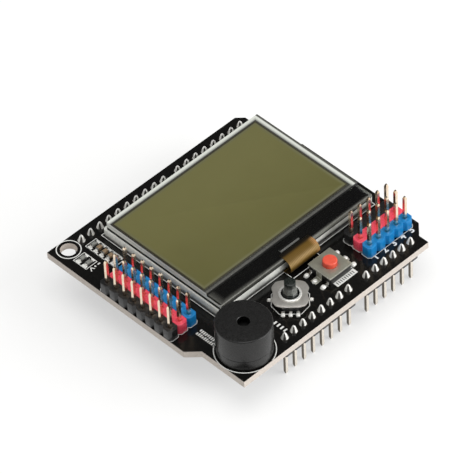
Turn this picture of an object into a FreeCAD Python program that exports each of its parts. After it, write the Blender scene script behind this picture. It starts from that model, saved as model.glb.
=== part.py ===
import FreeCAD, Part
import os
import re

import Sketcher

# A graphic display board that stacks on a small controller board.
# Frame: +X along the header rows, +Y towards the digital row, +Z up, millimetres.
# The origin is under the middle of the board, level with the tips of the stacking pins.

SIZES = {
    # circuit board
    "board_width": 53.34,
    "board_thick": 1.6,
    "corner_cut": 1.524,
    "step_depth": 2.54,
    "left_step_height": 11.684,
    "right_bump_start": 2.54,
    "right_bump_end": 40.386,
    "mount_radius": 1.75,
    "mount_inset_left": 3.556,
    "mount_inset_back": 2.54,
    # pin headers
    "pitch": 2.54,
    "pin_side": 0.64,
    "pin_tip": 0.5,
    "tip_half": 0.17,
    "strip_height": 2.54,
    "strip_width": 2.5,
    "strip_notch": 0.55,
    "pin_below": 6.0,
    "pin_above": 1.4,
    "row_inset": 2.54,
    "digital_inset": 7.112,
    "digital_gap": 4.064,
    "digital_end": 5.08,
    "digital_a_count": 10,
    "digital_b_count": 8,
    "power_inset": 16.256,
    "analog_gap": 5.08,
    "power_count": 8,
    "analog_count": 6,
    "solder_radius": 0.78,
    "solder_neck": 0.42,
    "solder_height": 1.3,
    "solder_drop": 1.1,
    # signal headers on top of the board
    "signal_rise": 8.4,
    "signal_drop": 1.1,
    "digital_signal_edge": 1.27,
    "digital_signal_front": 19.15,
    "digital_signal_count": 8,
    "analog_signal_end": 2.54,
    "analog_signal_front": 6.5,
    "analog_signal_count": 5,
    # display
    "display_inset_left": 10.95,
    "display_inset_right": 2.7,
    "display_inset_front": 15.2,
    "display_inset_back": 4.87,
    "frame_height": 2.25,
    "film_level": 2.95,
    "frame_wall": 1.2,
    "frame_floor": 0.5,
    "reflector_thick": 0.15,
    "film_thick": 0.2,
    "led_bay": 1.7,
    "led_length": 5.0,
    "led_height": 1.3,
    "led_spread": 6.0,
    "glass_thick": 0.7,
    "glass_inset": 0.3,
    "glass_inset_right": 0.5,
    "glass_inset_back": 0.9,
    "glass_overhang": 0.25,
    "ledge_depth": 4.1,
    "polariser_thick": 0.15,
    "polariser_left": 0.27,
    "polariser_right": 1.85,
    "polariser_front": 0.9,
    "polariser_back": 1.35,
    "tape_thick": 0.1,
    "tape_left": 0.35,
    "tape_right": 1.05,
    "tape_front": 0.3,
    "chip_length": 5.2,
    "chip_width": 0.8,
    "chip_height": 0.4,
    "chip_left": 18.3,
    "chip_back": 1.6,
    "flex_left": 17.45,
    "flex_width": 8.2,
    "flex_thick": 0.12,
    "flex_on_glass": 1.5,
    "flex_lead": 0.04,
    "flex_tail": 3.6,
    "fit_gap": 0.05,
    # buzzer
    "buzzer_inset_left": 8.67,
    "buzzer_inset_front": 5.95,
    "buzzer_radius": 5.8,
    "buzzer_height": 8.2,
    "buzzer_seam": 2.6,
    "buzzer_wall": 0.6,
    "buzzer_top": 0.8,
    "buzzer_edge": 0.25,
    "buzzer_port": 1.28,
    "buzzer_floor": 1.5,
    "buzzer_step": 0.12,
    "yoke_radius": 4.0,
    "yoke_thick": 0.6,
    "pole_radius": 1.0,
    "pole_top": 5.2,
    "coil_radius": 2.3,
    "magnet_inner": 3.0,
    "coil_height": 2.7,
    "diaphragm_level": 5.5,
    "diaphragm_thick": 0.1,
    "lead_radius": 0.3,
    "lead_reach": 3.25,
    # five-way lever switch, turned an eighth of a turn on the board
    "lever_inset_left": 24.17,
    "lever_inset_front": 8.82,
    "lever_turn": -45.0,
    "lever_size": 7.4,
    "lever_cut_across": 1.05,
    "lever_cut_along": 1.7,
    "lever_waist": 0.22,
    "lever_waist_half": 1.1,
    "lever_base_inset": 0.45,
    "lever_base_height": 1.6,
    "lever_floor": 0.45,
    "lever_well": 2.35,
    "cover_thick": 0.3,
    "lever_ring_wall": 0.43,
    "lever_ring_rise": 0.28,
    "lever_ball_gap": 0.1,
    "lever_ball_radius": 1.75,
    "lever_post": 0.6,
    "lever_head": 1.15,
    "lever_head_height": 1.3,
    "lever_height": 5.4,
    "ring_inner": 1.15,
    "ring_outer": 1.9,
    "ring_thick": 0.25,
    "pad_half": 0.15,
    "pad_length": 0.4,
    "pad_reach": 1.72,
    "seat_thick": 0.16,
    "seat_half": 0.3,
    "seat_pad": 0.12,
    "boss_radius": 0.45,
    "boss_height": 0.17,
    "foot_radius": 0.5,
    "dome_radius": 1.6,
    "dome_crown": 0.5,
    "dome_rise": 0.265,
    "dome_thick": 0.08,
    "rest_gap": 0.005,
    "leg_width": 0.72,
    "leg_thick": 0.2,
    "leg_spacing": 1.5,
    "leg_reach": 4.45,
    "leg_rise": 0.75,
    "tab_width": 0.85,
    "tab_reach": 4.6,
    # reset button
    "reset_inset_left": 35.32,
    "reset_inset_front": 8.8,
    "reset_size": 6.3,
    "reset_base_inset": 0.18,
    "reset_base_height": 1.7,
    "reset_floor": 0.5,
    "reset_flange": 1.86,
    "reset_flange_gap": 0.09,
    "reset_stem": 1.5,
    "reset_stem_gap": 0.08,
    "reset_stop_gap": 0.02,
    "reset_height": 3.15,
    "reset_cap_edge": 0.2,
    "reset_leg_reach": 4.8,
    "reset_leg_spacing": 2.3,
    "reset_flap_width": 1.5,
    # chip parts
    "chip_part_length": 1.6,
    "chip_part_width": 0.8,
    "chip_end": 0.3,
    "chip_end_step": 0.03,
    "resistor_height": 0.45,
    "capacitor_height": 0.75,
    "chip_row_inset_left": 7.92,
    "chip_row_inset_back": 5.27,
    "chip_row_pitch": 1.63,
    "capacitor_count": 4,
    "chip_pair_inset_left": 3.73,
    "chip_pair_inset_back": 6.37,
    "chip_pair_pitch": 1.8,
    "chip_pair_count": 2,
}

# Places and heights worked out from the sizes above.
WORKED_OUT = {
    "board_length": "digital_inset + digital_gap + digital_end + pitch * (digital_a_count + digital_b_count - 2)",
    "board_bottom": "pin_below + strip_height",
    "board_top": "board_bottom + board_thick",
    "board_left": "-board_length / 2",
    "board_right": "board_length / 2",
    "board_front": "-board_width / 2",
    "board_back": "board_width / 2",
    "mount_across": "board_left + mount_inset_left",
    "mount_along": "board_back - mount_inset_back",
    "row_back": "board_back - row_inset",
    "row_front": "board_front + row_inset",
    "digital_a_start": "board_left + digital_inset",
    "digital_b_start": "digital_a_start + pitch * (digital_a_count - 1) + digital_gap",
    "power_start": "board_left + power_inset",
    "analog_start": "power_start + pitch * (power_count - 1) + analog_gap",
    "half_pin": "pin_side / 2",
    "half_pitch": "pitch / 2",
    "half_strip": "strip_width / 2",
    "digital_signal_across": "board_left + digital_signal_edge",
    "digital_signal_start": "board_front + digital_signal_front",
    "analog_signal_start": "board_right - analog_signal_end - pitch * (analog_signal_count - 1)",
    "analog_signal_row": "board_front + analog_signal_front",
    "display_left": "board_left + display_inset_left",
    "display_right": "board_right - display_inset_right",
    "display_front": "board_front + display_inset_front",
    "display_back": "board_back - display_inset_back",
    "film_top": "board_top + film_level",
    "film_bottom": "film_top - film_thick",
    "guide_bottom": "board_top + frame_floor + reflector_thick",
    "pocket_left": "display_left + frame_wall",
    "pocket_right": "display_right - frame_wall",
    "pocket_front": "display_front + frame_wall",
    "pocket_back": "display_back - frame_wall",
    "guide_right": "pocket_right - led_bay",
    "glass_left": "display_left + glass_inset",
    "glass_right": "display_right - glass_inset_right",
    "glass_front": "display_front - glass_overhang",
    "glass_back": "display_back - glass_inset_back",
    "glass_middle": "film_top + glass_thick",
    "glass_top": "glass_middle + glass_thick",
    "upper_front": "glass_front + ledge_depth",
    "chip_across": "glass_left + chip_left",
    "chip_along": "upper_front - chip_back - chip_width",
    "flex_across": "glass_left + flex_left",
    "flex_outer": "(glass_middle - board_top + flex_thick) / 2",
    "flex_inner": "flex_outer - flex_thick",
    "flex_axis": "glass_front - flex_lead",
    "flex_level": "board_top + flex_outer",
    "buzzer_across": "board_left + buzzer_inset_left",
    "buzzer_along": "board_front + buzzer_inset_front",
    "buzzer_inner": "buzzer_radius - buzzer_wall",
    "lever_across": "board_left + lever_inset_left",
    "lever_along": "board_front + lever_inset_front",
    "cover_level": "lever_base_height + cover_thick",
    "lever_opening": "lever_ball_radius + lever_ball_gap",
    "lever_ring_radius": "lever_opening + lever_ring_wall",
    "seat_low": "lever_floor + dome_rise + rest_gap",
    "seat_top": "seat_low + seat_thick",
    "lever_pivot": "seat_top + boss_height + foot_radius",
    "ring_low": "seat_top + seat_pad",
    "ring_high": "ring_low + ring_thick",
    "half_lever": "lever_size / 2",
    "half_base": "half_lever - lever_base_inset",
    "reset_across": "board_left + reset_inset_left",
    "reset_along": "board_front + reset_inset_front",
    "reset_well": "reset_flange + reset_flange_gap",
    "reset_cap_low": "reset_floor + dome_rise + rest_gap",
    "reset_flange_top": "reset_base_height - reset_stop_gap",
    "half_reset": "reset_size / 2",
    "half_reset_base": "half_reset - reset_base_inset",
    "half_chip": "chip_part_length / 2",
    "chip_row_across": "board_left + chip_row_inset_left",
    "chip_row_along": "board_back - chip_row_inset_back",
    "chip_pair_across": "board_left + chip_pair_inset_left",
    "chip_pair_along": "board_back - chip_pair_inset_back",
}

document = FreeCAD.newDocument("graphic_lcd_board")
sheet = document.addObject("Spreadsheet::Sheet", "sizes")
for row, (alias, number) in enumerate(SIZES.items(), start=1):
    sheet.set("A%d" % row, alias)
    sheet.set("B%d" % row, str(number))
    sheet.setAlias("B%d" % row, alias)
document.recompute()


def formula(text):
    """Spell out worked-out names and point each size name at its cell."""
    def swap(match):
        word = match.group(0)
        if word in WORKED_OUT:
            return "(" + formula(WORKED_OUT[word]) + ")"
        if word in SIZES:
            return "sizes." + word
        return word
    return re.sub(r"[a-z][a-z0-9_]*", swap, str(text))


def value(text):
    """The number that a formula gives now."""
    result = sheet.evalExpression(formula(text))
    return float(getattr(result, "Value", result))


def bind(item, name, text):
    """Tie a property of the item to a formula."""
    item.setExpression(name, formula(text))


def tie(sketch, kind, edge, point, text):
    """Hold one coordinate of a point, or a radius, at a formula."""
    if kind == "Radius":
        held = Sketcher.Constraint(kind, edge, value(text))
    else:
        held = Sketcher.Constraint(kind, -1, 1, edge, point, value(text))
    number = sketch.addConstraint(held)
    sketch.setExpression("Constraints[%d]" % number, formula(text))


def outline(sketch, corners):
    """Closed outline of straight edges with every corner tied to its formulas."""
    spots = [FreeCAD.Vector(value(across), value(along), 0) for across, along in corners]
    first = sketch.GeometryCount
    for index, spot in enumerate(spots):
        sketch.addGeometry(Part.LineSegment(spot, spots[(index + 1) % len(spots)]), False)
    for index in range(len(spots)):
        following = first + (index + 1) % len(spots)
        sketch.addConstraint(Sketcher.Constraint("Coincident", first + index, 2, following, 1))
    for index, (across, along) in enumerate(corners):
        tie(sketch, "DistanceX", first + index, 1, across)
        tie(sketch, "DistanceY", first + index, 1, along)
    return sketch


def rectangle(sketch, left, right, low, high):
    """Rectangle between two pairs of formulas."""
    return outline(sketch, [(left, low), (right, low), (right, high), (left, high)])


def square(sketch, across, along, half):
    """Square about a point."""
    return rectangle(sketch, f"{across} - {half}", f"{across} + {half}",
                     f"{along} - {half}", f"{along} + {half}")


def circle(sketch, across, along, radius):
    """Circle with its centre and radius tied to formulas."""
    centre = FreeCAD.Vector(value(across), value(along), 0)
    edge = sketch.addGeometry(Part.Circle(centre, FreeCAD.Vector(0, 0, 1), value(radius)), False)
    tie(sketch, "DistanceX", edge, 3, across)
    tie(sketch, "DistanceY", edge, 3, along)
    tie(sketch, "Radius", edge, 0, radius)
    return sketch


class Piece:
    """One sub-part: a body with short ways to sketch, pad, cut, turn and repeat."""

    def __init__(self, label, across="0", along="0", level="0", turn="0"):
        self.body = document.addObject("PartDesign::Body", label)
        self.body.Label = label
        self.body.AllowCompound = True
        self.body.Placement = FreeCAD.Placement(
            FreeCAD.Vector(0, 0, 0), FreeCAD.Rotation(FreeCAD.Vector(0, 0, 1), 1))
        bind(self.body, "Placement.Base.x", across)
        bind(self.body, "Placement.Base.y", along)
        bind(self.body, "Placement.Base.z", level)
        bind(self.body, "Placement.Rotation.Angle", turn)
        self.count = 0

    def origin(self, role):
        """The body's own plane or axis with this role."""
        return next(item for item in self.body.Origin.OriginFeatures if item.Role == role)

    def sketch(self, level="0", plane="XY_Plane"):
        """Empty sketch on an own plane, moved along its normal."""
        self.count += 1
        sketch = self.body.newObject("Sketcher::SketchObject", f"{self.body.Label}_sketch{self.count}")
        sketch.AttachmentSupport = [(self.origin(plane), "")]
        sketch.MapMode = "FlatFace"
        bind(sketch, "AttachmentOffset.Base.z", level)
        return sketch

    def feature(self, kind, sketch):
        """New feature from a sketch, kept as the body's tip."""
        self.count += 1
        item = self.body.newObject("PartDesign::" + kind, f"{self.body.Label}_{kind}{self.count}")
        item.Profile = sketch
        self.body.Tip = item
        return item

    def pad(self, sketch, length, down=False):
        """Pad a sketch along its normal, or against it."""
        item = self.feature("Pad", sketch)
        bind(item, "Length", length)
        item.Reversed = down
        return item

    def cut(self, sketch, length):
        """Cut upwards from a sketch."""
        item = self.feature("Pocket", sketch)
        bind(item, "Length", length)
        item.Reversed = True
        return item

    def slice(self, sketch, length):
        """Cut a length away to both sides of an upright sketch."""
        item = self.feature("Pocket", sketch)
        bind(item, "Length", length)
        item.Midplane = True
        return item

    def turned(self, corners):
        """Turn a profile of radius and height about the body's upright axis."""
        profile = outline(self.sketch(plane="XZ_Plane"), corners)
        item = self.feature("Revolution", profile)
        item.ReferenceAxis = (profile, ["V_Axis"])
        item.Angle = 360
        return item

    def repeat(self, items, axis, step, count):
        """Repeat features along an own axis."""
        self.count += 1
        pattern = self.body.newObject("PartDesign::LinearPattern", f"{self.body.Label}_row{self.count}")
        pattern.Originals = items
        pattern.Direction = (self.origin(axis), [""])
        bind(pattern, "Length", f"({step}) * ({count} - 1)")
        bind(pattern, "Occurrences", count)
        self.body.Tip = pattern
        return pattern

    def mirror(self, items, plane):
        """Mirror features in an own plane."""
        self.count += 1
        mirrored = self.body.newObject("PartDesign::Mirrored", f"{self.body.Label}_mirror{self.count}")
        mirrored.Originals = items
        mirrored.MirrorPlane = (self.origin(plane), [""])
        self.body.Tip = mirrored
        return mirrored


# Rows of stacking pins: name, first pin, row side, number of pins.
STACKING_ROWS = [
    ("digital_a", "digital_a_start", "row_back", "digital_a_count"),
    ("digital_b", "digital_b_start", "row_back", "digital_b_count"),
    ("power", "power_start", "row_front", "power_count"),
    ("analog", "analog_start", "row_front", "analog_count"),
]

# Rows of signal pins: name, first pin across and along, axis of the row, number of pins.
SIGNAL_ROWS = [
    ("digital_black", "digital_signal_across", "digital_signal_start", "Y_Axis", "digital_signal_count"),
    ("digital_red", "digital_signal_across + pitch", "digital_signal_start", "Y_Axis",
     "digital_signal_count"),
    ("digital_blue", "digital_signal_across + 2 * pitch", "digital_signal_start", "Y_Axis",
     "digital_signal_count"),
    ("analog_blue", "analog_signal_start", "analog_signal_row", "X_Axis", "analog_signal_count"),
    ("analog_red", "analog_signal_start", "analog_signal_row + pitch", "X_Axis", "analog_signal_count"),
    ("analog_black", "analog_signal_start", "analog_signal_row + 2 * pitch", "X_Axis",
     "analog_signal_count"),
]


def make_board():
    """Circuit board with its cut corners, mounting hole and a square hole for each pin."""
    board = Piece("circuit_board", level="board_bottom")
    plan = outline(board.sketch(), [
        ("board_left + step_depth", "board_front"),
        ("board_right - step_depth", "board_front"),
        ("board_right - step_depth", "board_front + right_bump_start"),
        ("board_right", "board_front + right_bump_start + step_depth"),
        ("board_right", "board_front + right_bump_end - step_depth"),
        ("board_right - step_depth", "board_front + right_bump_end"),
        ("board_right - step_depth", "board_back - corner_cut"),
        ("board_right - step_depth - corner_cut", "board_back"),
        ("board_left", "board_back"),
        ("board_left", "board_front + left_step_height + step_depth"),
        ("board_left + step_depth", "board_front + left_step_height"),
    ])
    board.pad(plan, "board_thick")
    rounds = circle(board.sketch(), "mount_across", "mount_along", "mount_radius")
    for side in ("-", "+"):
        circle(rounds, f"buzzer_across {side} lead_reach", "buzzer_along", "lead_radius + fit_gap")
    board.cut(rounds, "board_thick")
    for _, start, row, count in STACKING_ROWS:
        hole = board.cut(square(board.sketch(), start, row, "half_pin"), "board_thick")
        board.repeat([hole], "X_Axis", "pitch", count)
    for _, across, along, axis, count in SIGNAL_ROWS:
        hole = board.cut(square(board.sketch(), across, along, "half_pin"), "board_thick")
        board.repeat([hole], axis, "pitch", count)


def make_strip(label, across, along, level, axis, count):
    """Moulded strip of eight-sided cells, one for each pin, with square pin holes."""
    strip = Piece(label, across, along, level)
    long_half, wide_half = ("half_pitch", "half_strip") if axis == "X_Axis" else ("half_strip", "half_pitch")
    cell = outline(strip.sketch(), [
        (f"-{long_half} + strip_notch", f"-{wide_half}"),
        (f"{long_half} - strip_notch", f"-{wide_half}"),
        (long_half, f"-{wide_half} + strip_notch"),
        (long_half, f"{wide_half} - strip_notch"),
        (f"{long_half} - strip_notch", wide_half),
        (f"-{long_half} + strip_notch", wide_half),
        (f"-{long_half}", f"{wide_half} - strip_notch"),
        (f"-{long_half}", f"-{wide_half} + strip_notch"),
    ])
    block = strip.pad(cell, "strip_height")
    strip.repeat([block], axis, "pitch", count)
    hole = strip.cut(square(strip.sketch(), "0", "0", "half_pin"), "strip_height")
    strip.repeat([hole], axis, "pitch", count)


def make_pins(label, across, along, level, length, axis, count):
    """Row of separate square pins, tapered at both tips."""
    pins = Piece(label, across, along, level)
    items = [pins.pad(square(pins.sketch(), "0", "0", "half_pin"), length)]
    for plane in ("XZ_Plane", "YZ_Plane"):
        slopes = pins.sketch(plane=plane)
        for side in ("-", "+"):
            for end, inner in (("0", "pin_tip"), (length, f"{length} - pin_tip")):
                outline(slopes, [(f"{side}tip_half", end), (f"{side}half_pin", end),
                                 (f"{side}half_pin", inner)])
        items.append(pins.slice(slopes, "pin_side"))
    pins.repeat(items, axis, "pitch", count)


def solder_joints(piece, spots, level, points_down, axis, count):
    """Solder cones round the pins of each listed first spot, repeated along the rows."""
    items = []
    tall = "solder_drop" if points_down else "solder_height"
    for across, along in spots:
        piece.count += 1
        cone = piece.body.newObject("PartDesign::AdditiveCone", f"{piece.body.Label}_cone{piece.count}")
        bind(cone, "Radius1", "solder_neck" if points_down else "solder_radius")
        bind(cone, "Radius2", "solder_radius" if points_down else "solder_neck")
        bind(cone, "Height", tall)
        cone.AttachmentSupport = [(piece.origin("XY_Plane"), "")]
        cone.MapMode = "FlatFace"
        bind(cone, "AttachmentOffset.Base.x", across)
        bind(cone, "AttachmentOffset.Base.y", along)
        bind(cone, "AttachmentOffset.Base.z", level)
        piece.body.Tip = cone
        hole = piece.cut(square(piece.sketch(level), across, along, "half_pin"), tall)
        items += [cone, hole]
    piece.repeat(items, axis, "pitch", count)


def make_stacking_headers():
    """Four strips under the board with their pins and the solder cones above the board."""
    for name, start, row, count in STACKING_ROWS:
        make_strip(f"strip_{name}", start, row, "pin_below", "X_Axis", count)
        make_pins(f"pins_{name}", start, row, "0", "(board_top + pin_above)", "X_Axis", count)
        joints = Piece(f"solder_{name}", start, row, "board_top")
        solder_joints(joints, [("0", "0")], "0", False, "X_Axis", count)


def make_signal_headers():
    """Black, red and blue strips for the signals with their pins and solder below."""
    for name, across, along, axis, count in SIGNAL_ROWS:
        make_strip(f"strip_{name}", across, along, "board_top", axis, count)
        make_pins(f"pins_{name}", across, along, "board_bottom - signal_drop",
                  "(signal_rise + board_thick + signal_drop)", axis, count)
    digital = Piece("solder_digital_signals", "digital_signal_across", "digital_signal_start",
                    "board_bottom - solder_drop")
    rows = [(f"{number} * pitch", "0") for number in range(3)]
    solder_joints(digital, rows, "0", True, "Y_Axis", "digital_signal_count")
    analog = Piece("solder_analog_signals", "analog_signal_start", "analog_signal_row",
                   "board_bottom - solder_drop")
    rows = [("0", f"{number} * pitch") for number in range(3)]
    solder_joints(analog, rows, "0", True, "X_Axis", "analog_signal_count")


def make_plate(label, left, right, front, back, level, thick):
    """Flat rectangular plate or sheet."""
    plate = Piece(label, level=level)
    plate.pad(rectangle(plate.sketch(), left, right, front, back), thick)
    return plate


def make_backlight():
    """Milky frame with a tub for the light guide, its sheets and the lamps at the right end."""
    frame = make_plate("backlight_frame", "display_left", "display_right", "display_front",
                       "display_back", "board_top", "frame_height")
    tub = rectangle(frame.sketch("frame_floor"), "pocket_left", "pocket_right", "pocket_front", "pocket_back")
    frame.cut(tub, "frame_height - frame_floor")
    relief = rectangle(frame.sketch(), "flex_across - fit_gap", "flex_across + flex_width + fit_gap",
                       "display_front", "flex_axis + flex_tail + fit_gap")
    frame.cut(relief, "flex_thick + fit_gap")
    make_plate("reflector_sheet", "pocket_left", "pocket_right", "pocket_front", "pocket_back",
               "board_top + frame_floor", "reflector_thick")
    make_plate("light_guide", "pocket_left + fit_gap", "guide_right", "pocket_front + fit_gap",
               "pocket_back - fit_gap", "guide_bottom", "film_bottom - guide_bottom")
    lamps = Piece("backlight_lamps", "guide_right + fit_gap", "(display_front + display_back) / 2",
                  "guide_bottom")
    for side in ("-", "+"):
        middle = f"{side}led_spread"
        lamps.pad(rectangle(lamps.sketch(), "0", "led_bay - 2 * fit_gap", f"{middle} - led_length / 2",
                            f"{middle} + led_length / 2"), "led_height")
    make_plate("rear_polariser", "pocket_left + fit_gap", "pocket_right - fit_gap",
               "pocket_front + fit_gap", "pocket_back - fit_gap", "film_bottom", "film_thick")


def make_glass():
    """Two glass plates, the lower with a ledge in front, and what lies on them."""
    make_plate("rear_glass", "glass_left", "glass_right", "glass_front", "glass_back",
               "film_top", "glass_thick")
    make_plate("front_glass", "glass_left", "glass_right", "upper_front", "glass_back",
               "glass_middle", "glass_thick")
    make_plate("front_polariser", "glass_left + polariser_left", "glass_right - polariser_right",
               "upper_front + polariser_front", "glass_back - polariser_back",
               "glass_top", "polariser_thick")
    tape = Piece("ledge_tape", level="glass_middle")
    far = "upper_front - fit_gap"
    near = "glass_front + tape_front"
    notch = "glass_front + flex_on_glass + fit_gap"
    tape.pad(outline(tape.sketch(), [
        ("glass_left + tape_left", near),
        ("flex_across - fit_gap", near),
        ("flex_across - fit_gap", notch),
        ("flex_across + flex_width + fit_gap", notch),
        ("flex_across + flex_width + fit_gap", near),
        ("glass_right - tape_right", near),
        ("glass_right - tape_right", far),
        ("glass_left + tape_left", far),
    ]), "tape_thick")
    tape.cut(rectangle(tape.sketch(), "chip_across", "chip_across + chip_length",
                       "chip_along", "chip_along + chip_width"), "tape_thick")
    make_plate("driver_chip", "chip_across", "chip_across + chip_length",
               "chip_along", "chip_along + chip_width", "glass_middle", "chip_height")


def make_flex_tail():
    """Amber flex: flat on the ledge, a half turn in front of the glass, flat under the frame."""
    flex = Piece("flex_tail", "flex_across", "flex_axis", "flex_level")
    bend = flex.feature("Revolution", rectangle(flex.sketch(plane="XZ_Plane"), "0", "flex_width",
                                                "flex_inner", "flex_outer"))
    bend.ReferenceAxis = (bend.Profile[0], ["H_Axis"])
    bend.Angle = 180
    on_glass = rectangle(flex.sketch(plane="XZ_Plane"), "0", "flex_width", "flex_inner", "flex_outer")
    flex.pad(on_glass, "flex_lead + flex_on_glass", down=True)
    under = rectangle(flex.sketch(plane="XZ_Plane"), "0", "flex_width", "-flex_outer", "-flex_inner")
    flex.pad(under, "flex_tail", down=True)


def make_buzzer():
    """Round buzzer: can, plug, iron yoke, coil, ring magnet, diaphragm and two leads."""
    place = ("buzzer_across", "buzzer_along", "board_top")
    case = Piece("buzzer_case", *place)
    case.turned([
        ("buzzer_port", "buzzer_height - buzzer_top"),
        ("buzzer_inner", "buzzer_height - buzzer_top"),
        ("buzzer_inner", "buzzer_seam"),
        ("buzzer_radius", "buzzer_seam"),
        ("buzzer_radius", "buzzer_height - buzzer_edge"),
        ("buzzer_radius - buzzer_edge", "buzzer_height"),
        ("buzzer_port", "buzzer_height"),
    ])
    base = Piece("buzzer_base", *place)
    base.turned([
        ("0", "0"),
        ("buzzer_radius - buzzer_step", "0"),
        ("buzzer_radius - buzzer_step", "buzzer_seam"),
        ("buzzer_inner", "buzzer_seam"),
        ("buzzer_inner", "diaphragm_level"),
        ("buzzer_inner - buzzer_wall", "diaphragm_level"),
        ("buzzer_inner - buzzer_wall", "buzzer_floor"),
        ("0", "buzzer_floor"),
    ])
    bores = base.sketch()
    for side in ("-", "+"):
        circle(bores, f"{side}lead_reach", "0", "lead_radius")
    base.cut(bores, "buzzer_floor")
    yoke = Piece("buzzer_yoke", *place)
    yoke.turned([
        ("0", "buzzer_floor"),
        ("yoke_radius", "buzzer_floor"),
        ("yoke_radius", "buzzer_floor + yoke_thick"),
        ("pole_radius", "buzzer_floor + yoke_thick"),
        ("pole_radius", "pole_top"),
        ("0", "pole_top"),
    ])
    for label, inner, outer in (("buzzer_coil", "pole_radius + fit_gap", "coil_radius"),
                                ("buzzer_magnet", "magnet_inner", "yoke_radius")):
        ring = Piece(label, *place)
        low = "buzzer_floor + yoke_thick"
        ring.turned([(inner, low), (outer, low), (outer, f"{low} + coil_height"),
                     (inner, f"{low} + coil_height")])
    disc = Piece("buzzer_diaphragm", *place)
    disc.turned([
        ("0", "diaphragm_level"),
        ("buzzer_inner - fit_gap", "diaphragm_level"),
        ("buzzer_inner - fit_gap", "diaphragm_level + diaphragm_thick"),
        ("coil_radius", "diaphragm_level + diaphragm_thick"),
        ("coil_radius", "diaphragm_level + 3 * diaphragm_thick"),
        ("0", "diaphragm_level + 3 * diaphragm_thick"),
    ])
    leads = Piece("buzzer_leads", "buzzer_across", "buzzer_along", "board_bottom - signal_drop")
    wires = leads.sketch()
    for side in ("-", "+"):
        circle(wires, f"{side}lead_reach", "0", "lead_radius")
    leads.pad(wires, "signal_drop + board_thick + buzzer_floor")
    joints = Piece("solder_buzzer", "buzzer_across - lead_reach", "buzzer_along", "board_bottom")
    low = "-solder_drop"
    bead = joints.turned([("lead_radius", "0"), ("solder_radius", "0"),
                          ("solder_neck", low), ("lead_radius", low)])
    joints.repeat([bead], "X_Axis", "2 * lead_reach", "2")


def make_legs(label, place, spots, root, reach, width):
    """Flat metal legs that leave the base low on two sides and lie on the board."""
    legs = Piece(label, *place)
    items = []
    for spot in spots:
        profile = outline(legs.sketch(f"{spot} - {width} / 2", plane="YZ_Plane"), [
            (root, "0"),
            (reach, "0"),
            (reach, "leg_thick"),
            (f"{root} + leg_thick", "leg_thick"),
            (f"{root} + leg_thick", "leg_rise"),
            (root, "leg_rise"),
        ])
        items.append(legs.pad(profile, width))
    legs.mirror(items, "XZ_Plane")


def make_dome(label, place, floor):
    """Thin snap dome that stands on the floor of its well."""
    dome = Piece(label, *place)
    dome.turned([
        ("0", f"{floor} + dome_rise - dome_thick"),
        ("dome_crown", f"{floor} + dome_rise - dome_thick"),
        ("dome_radius - dome_thick", floor),
        ("dome_radius", floor),
        ("dome_crown", f"{floor} + dome_rise"),
        ("0", f"{floor} + dome_rise"),
    ])


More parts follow.
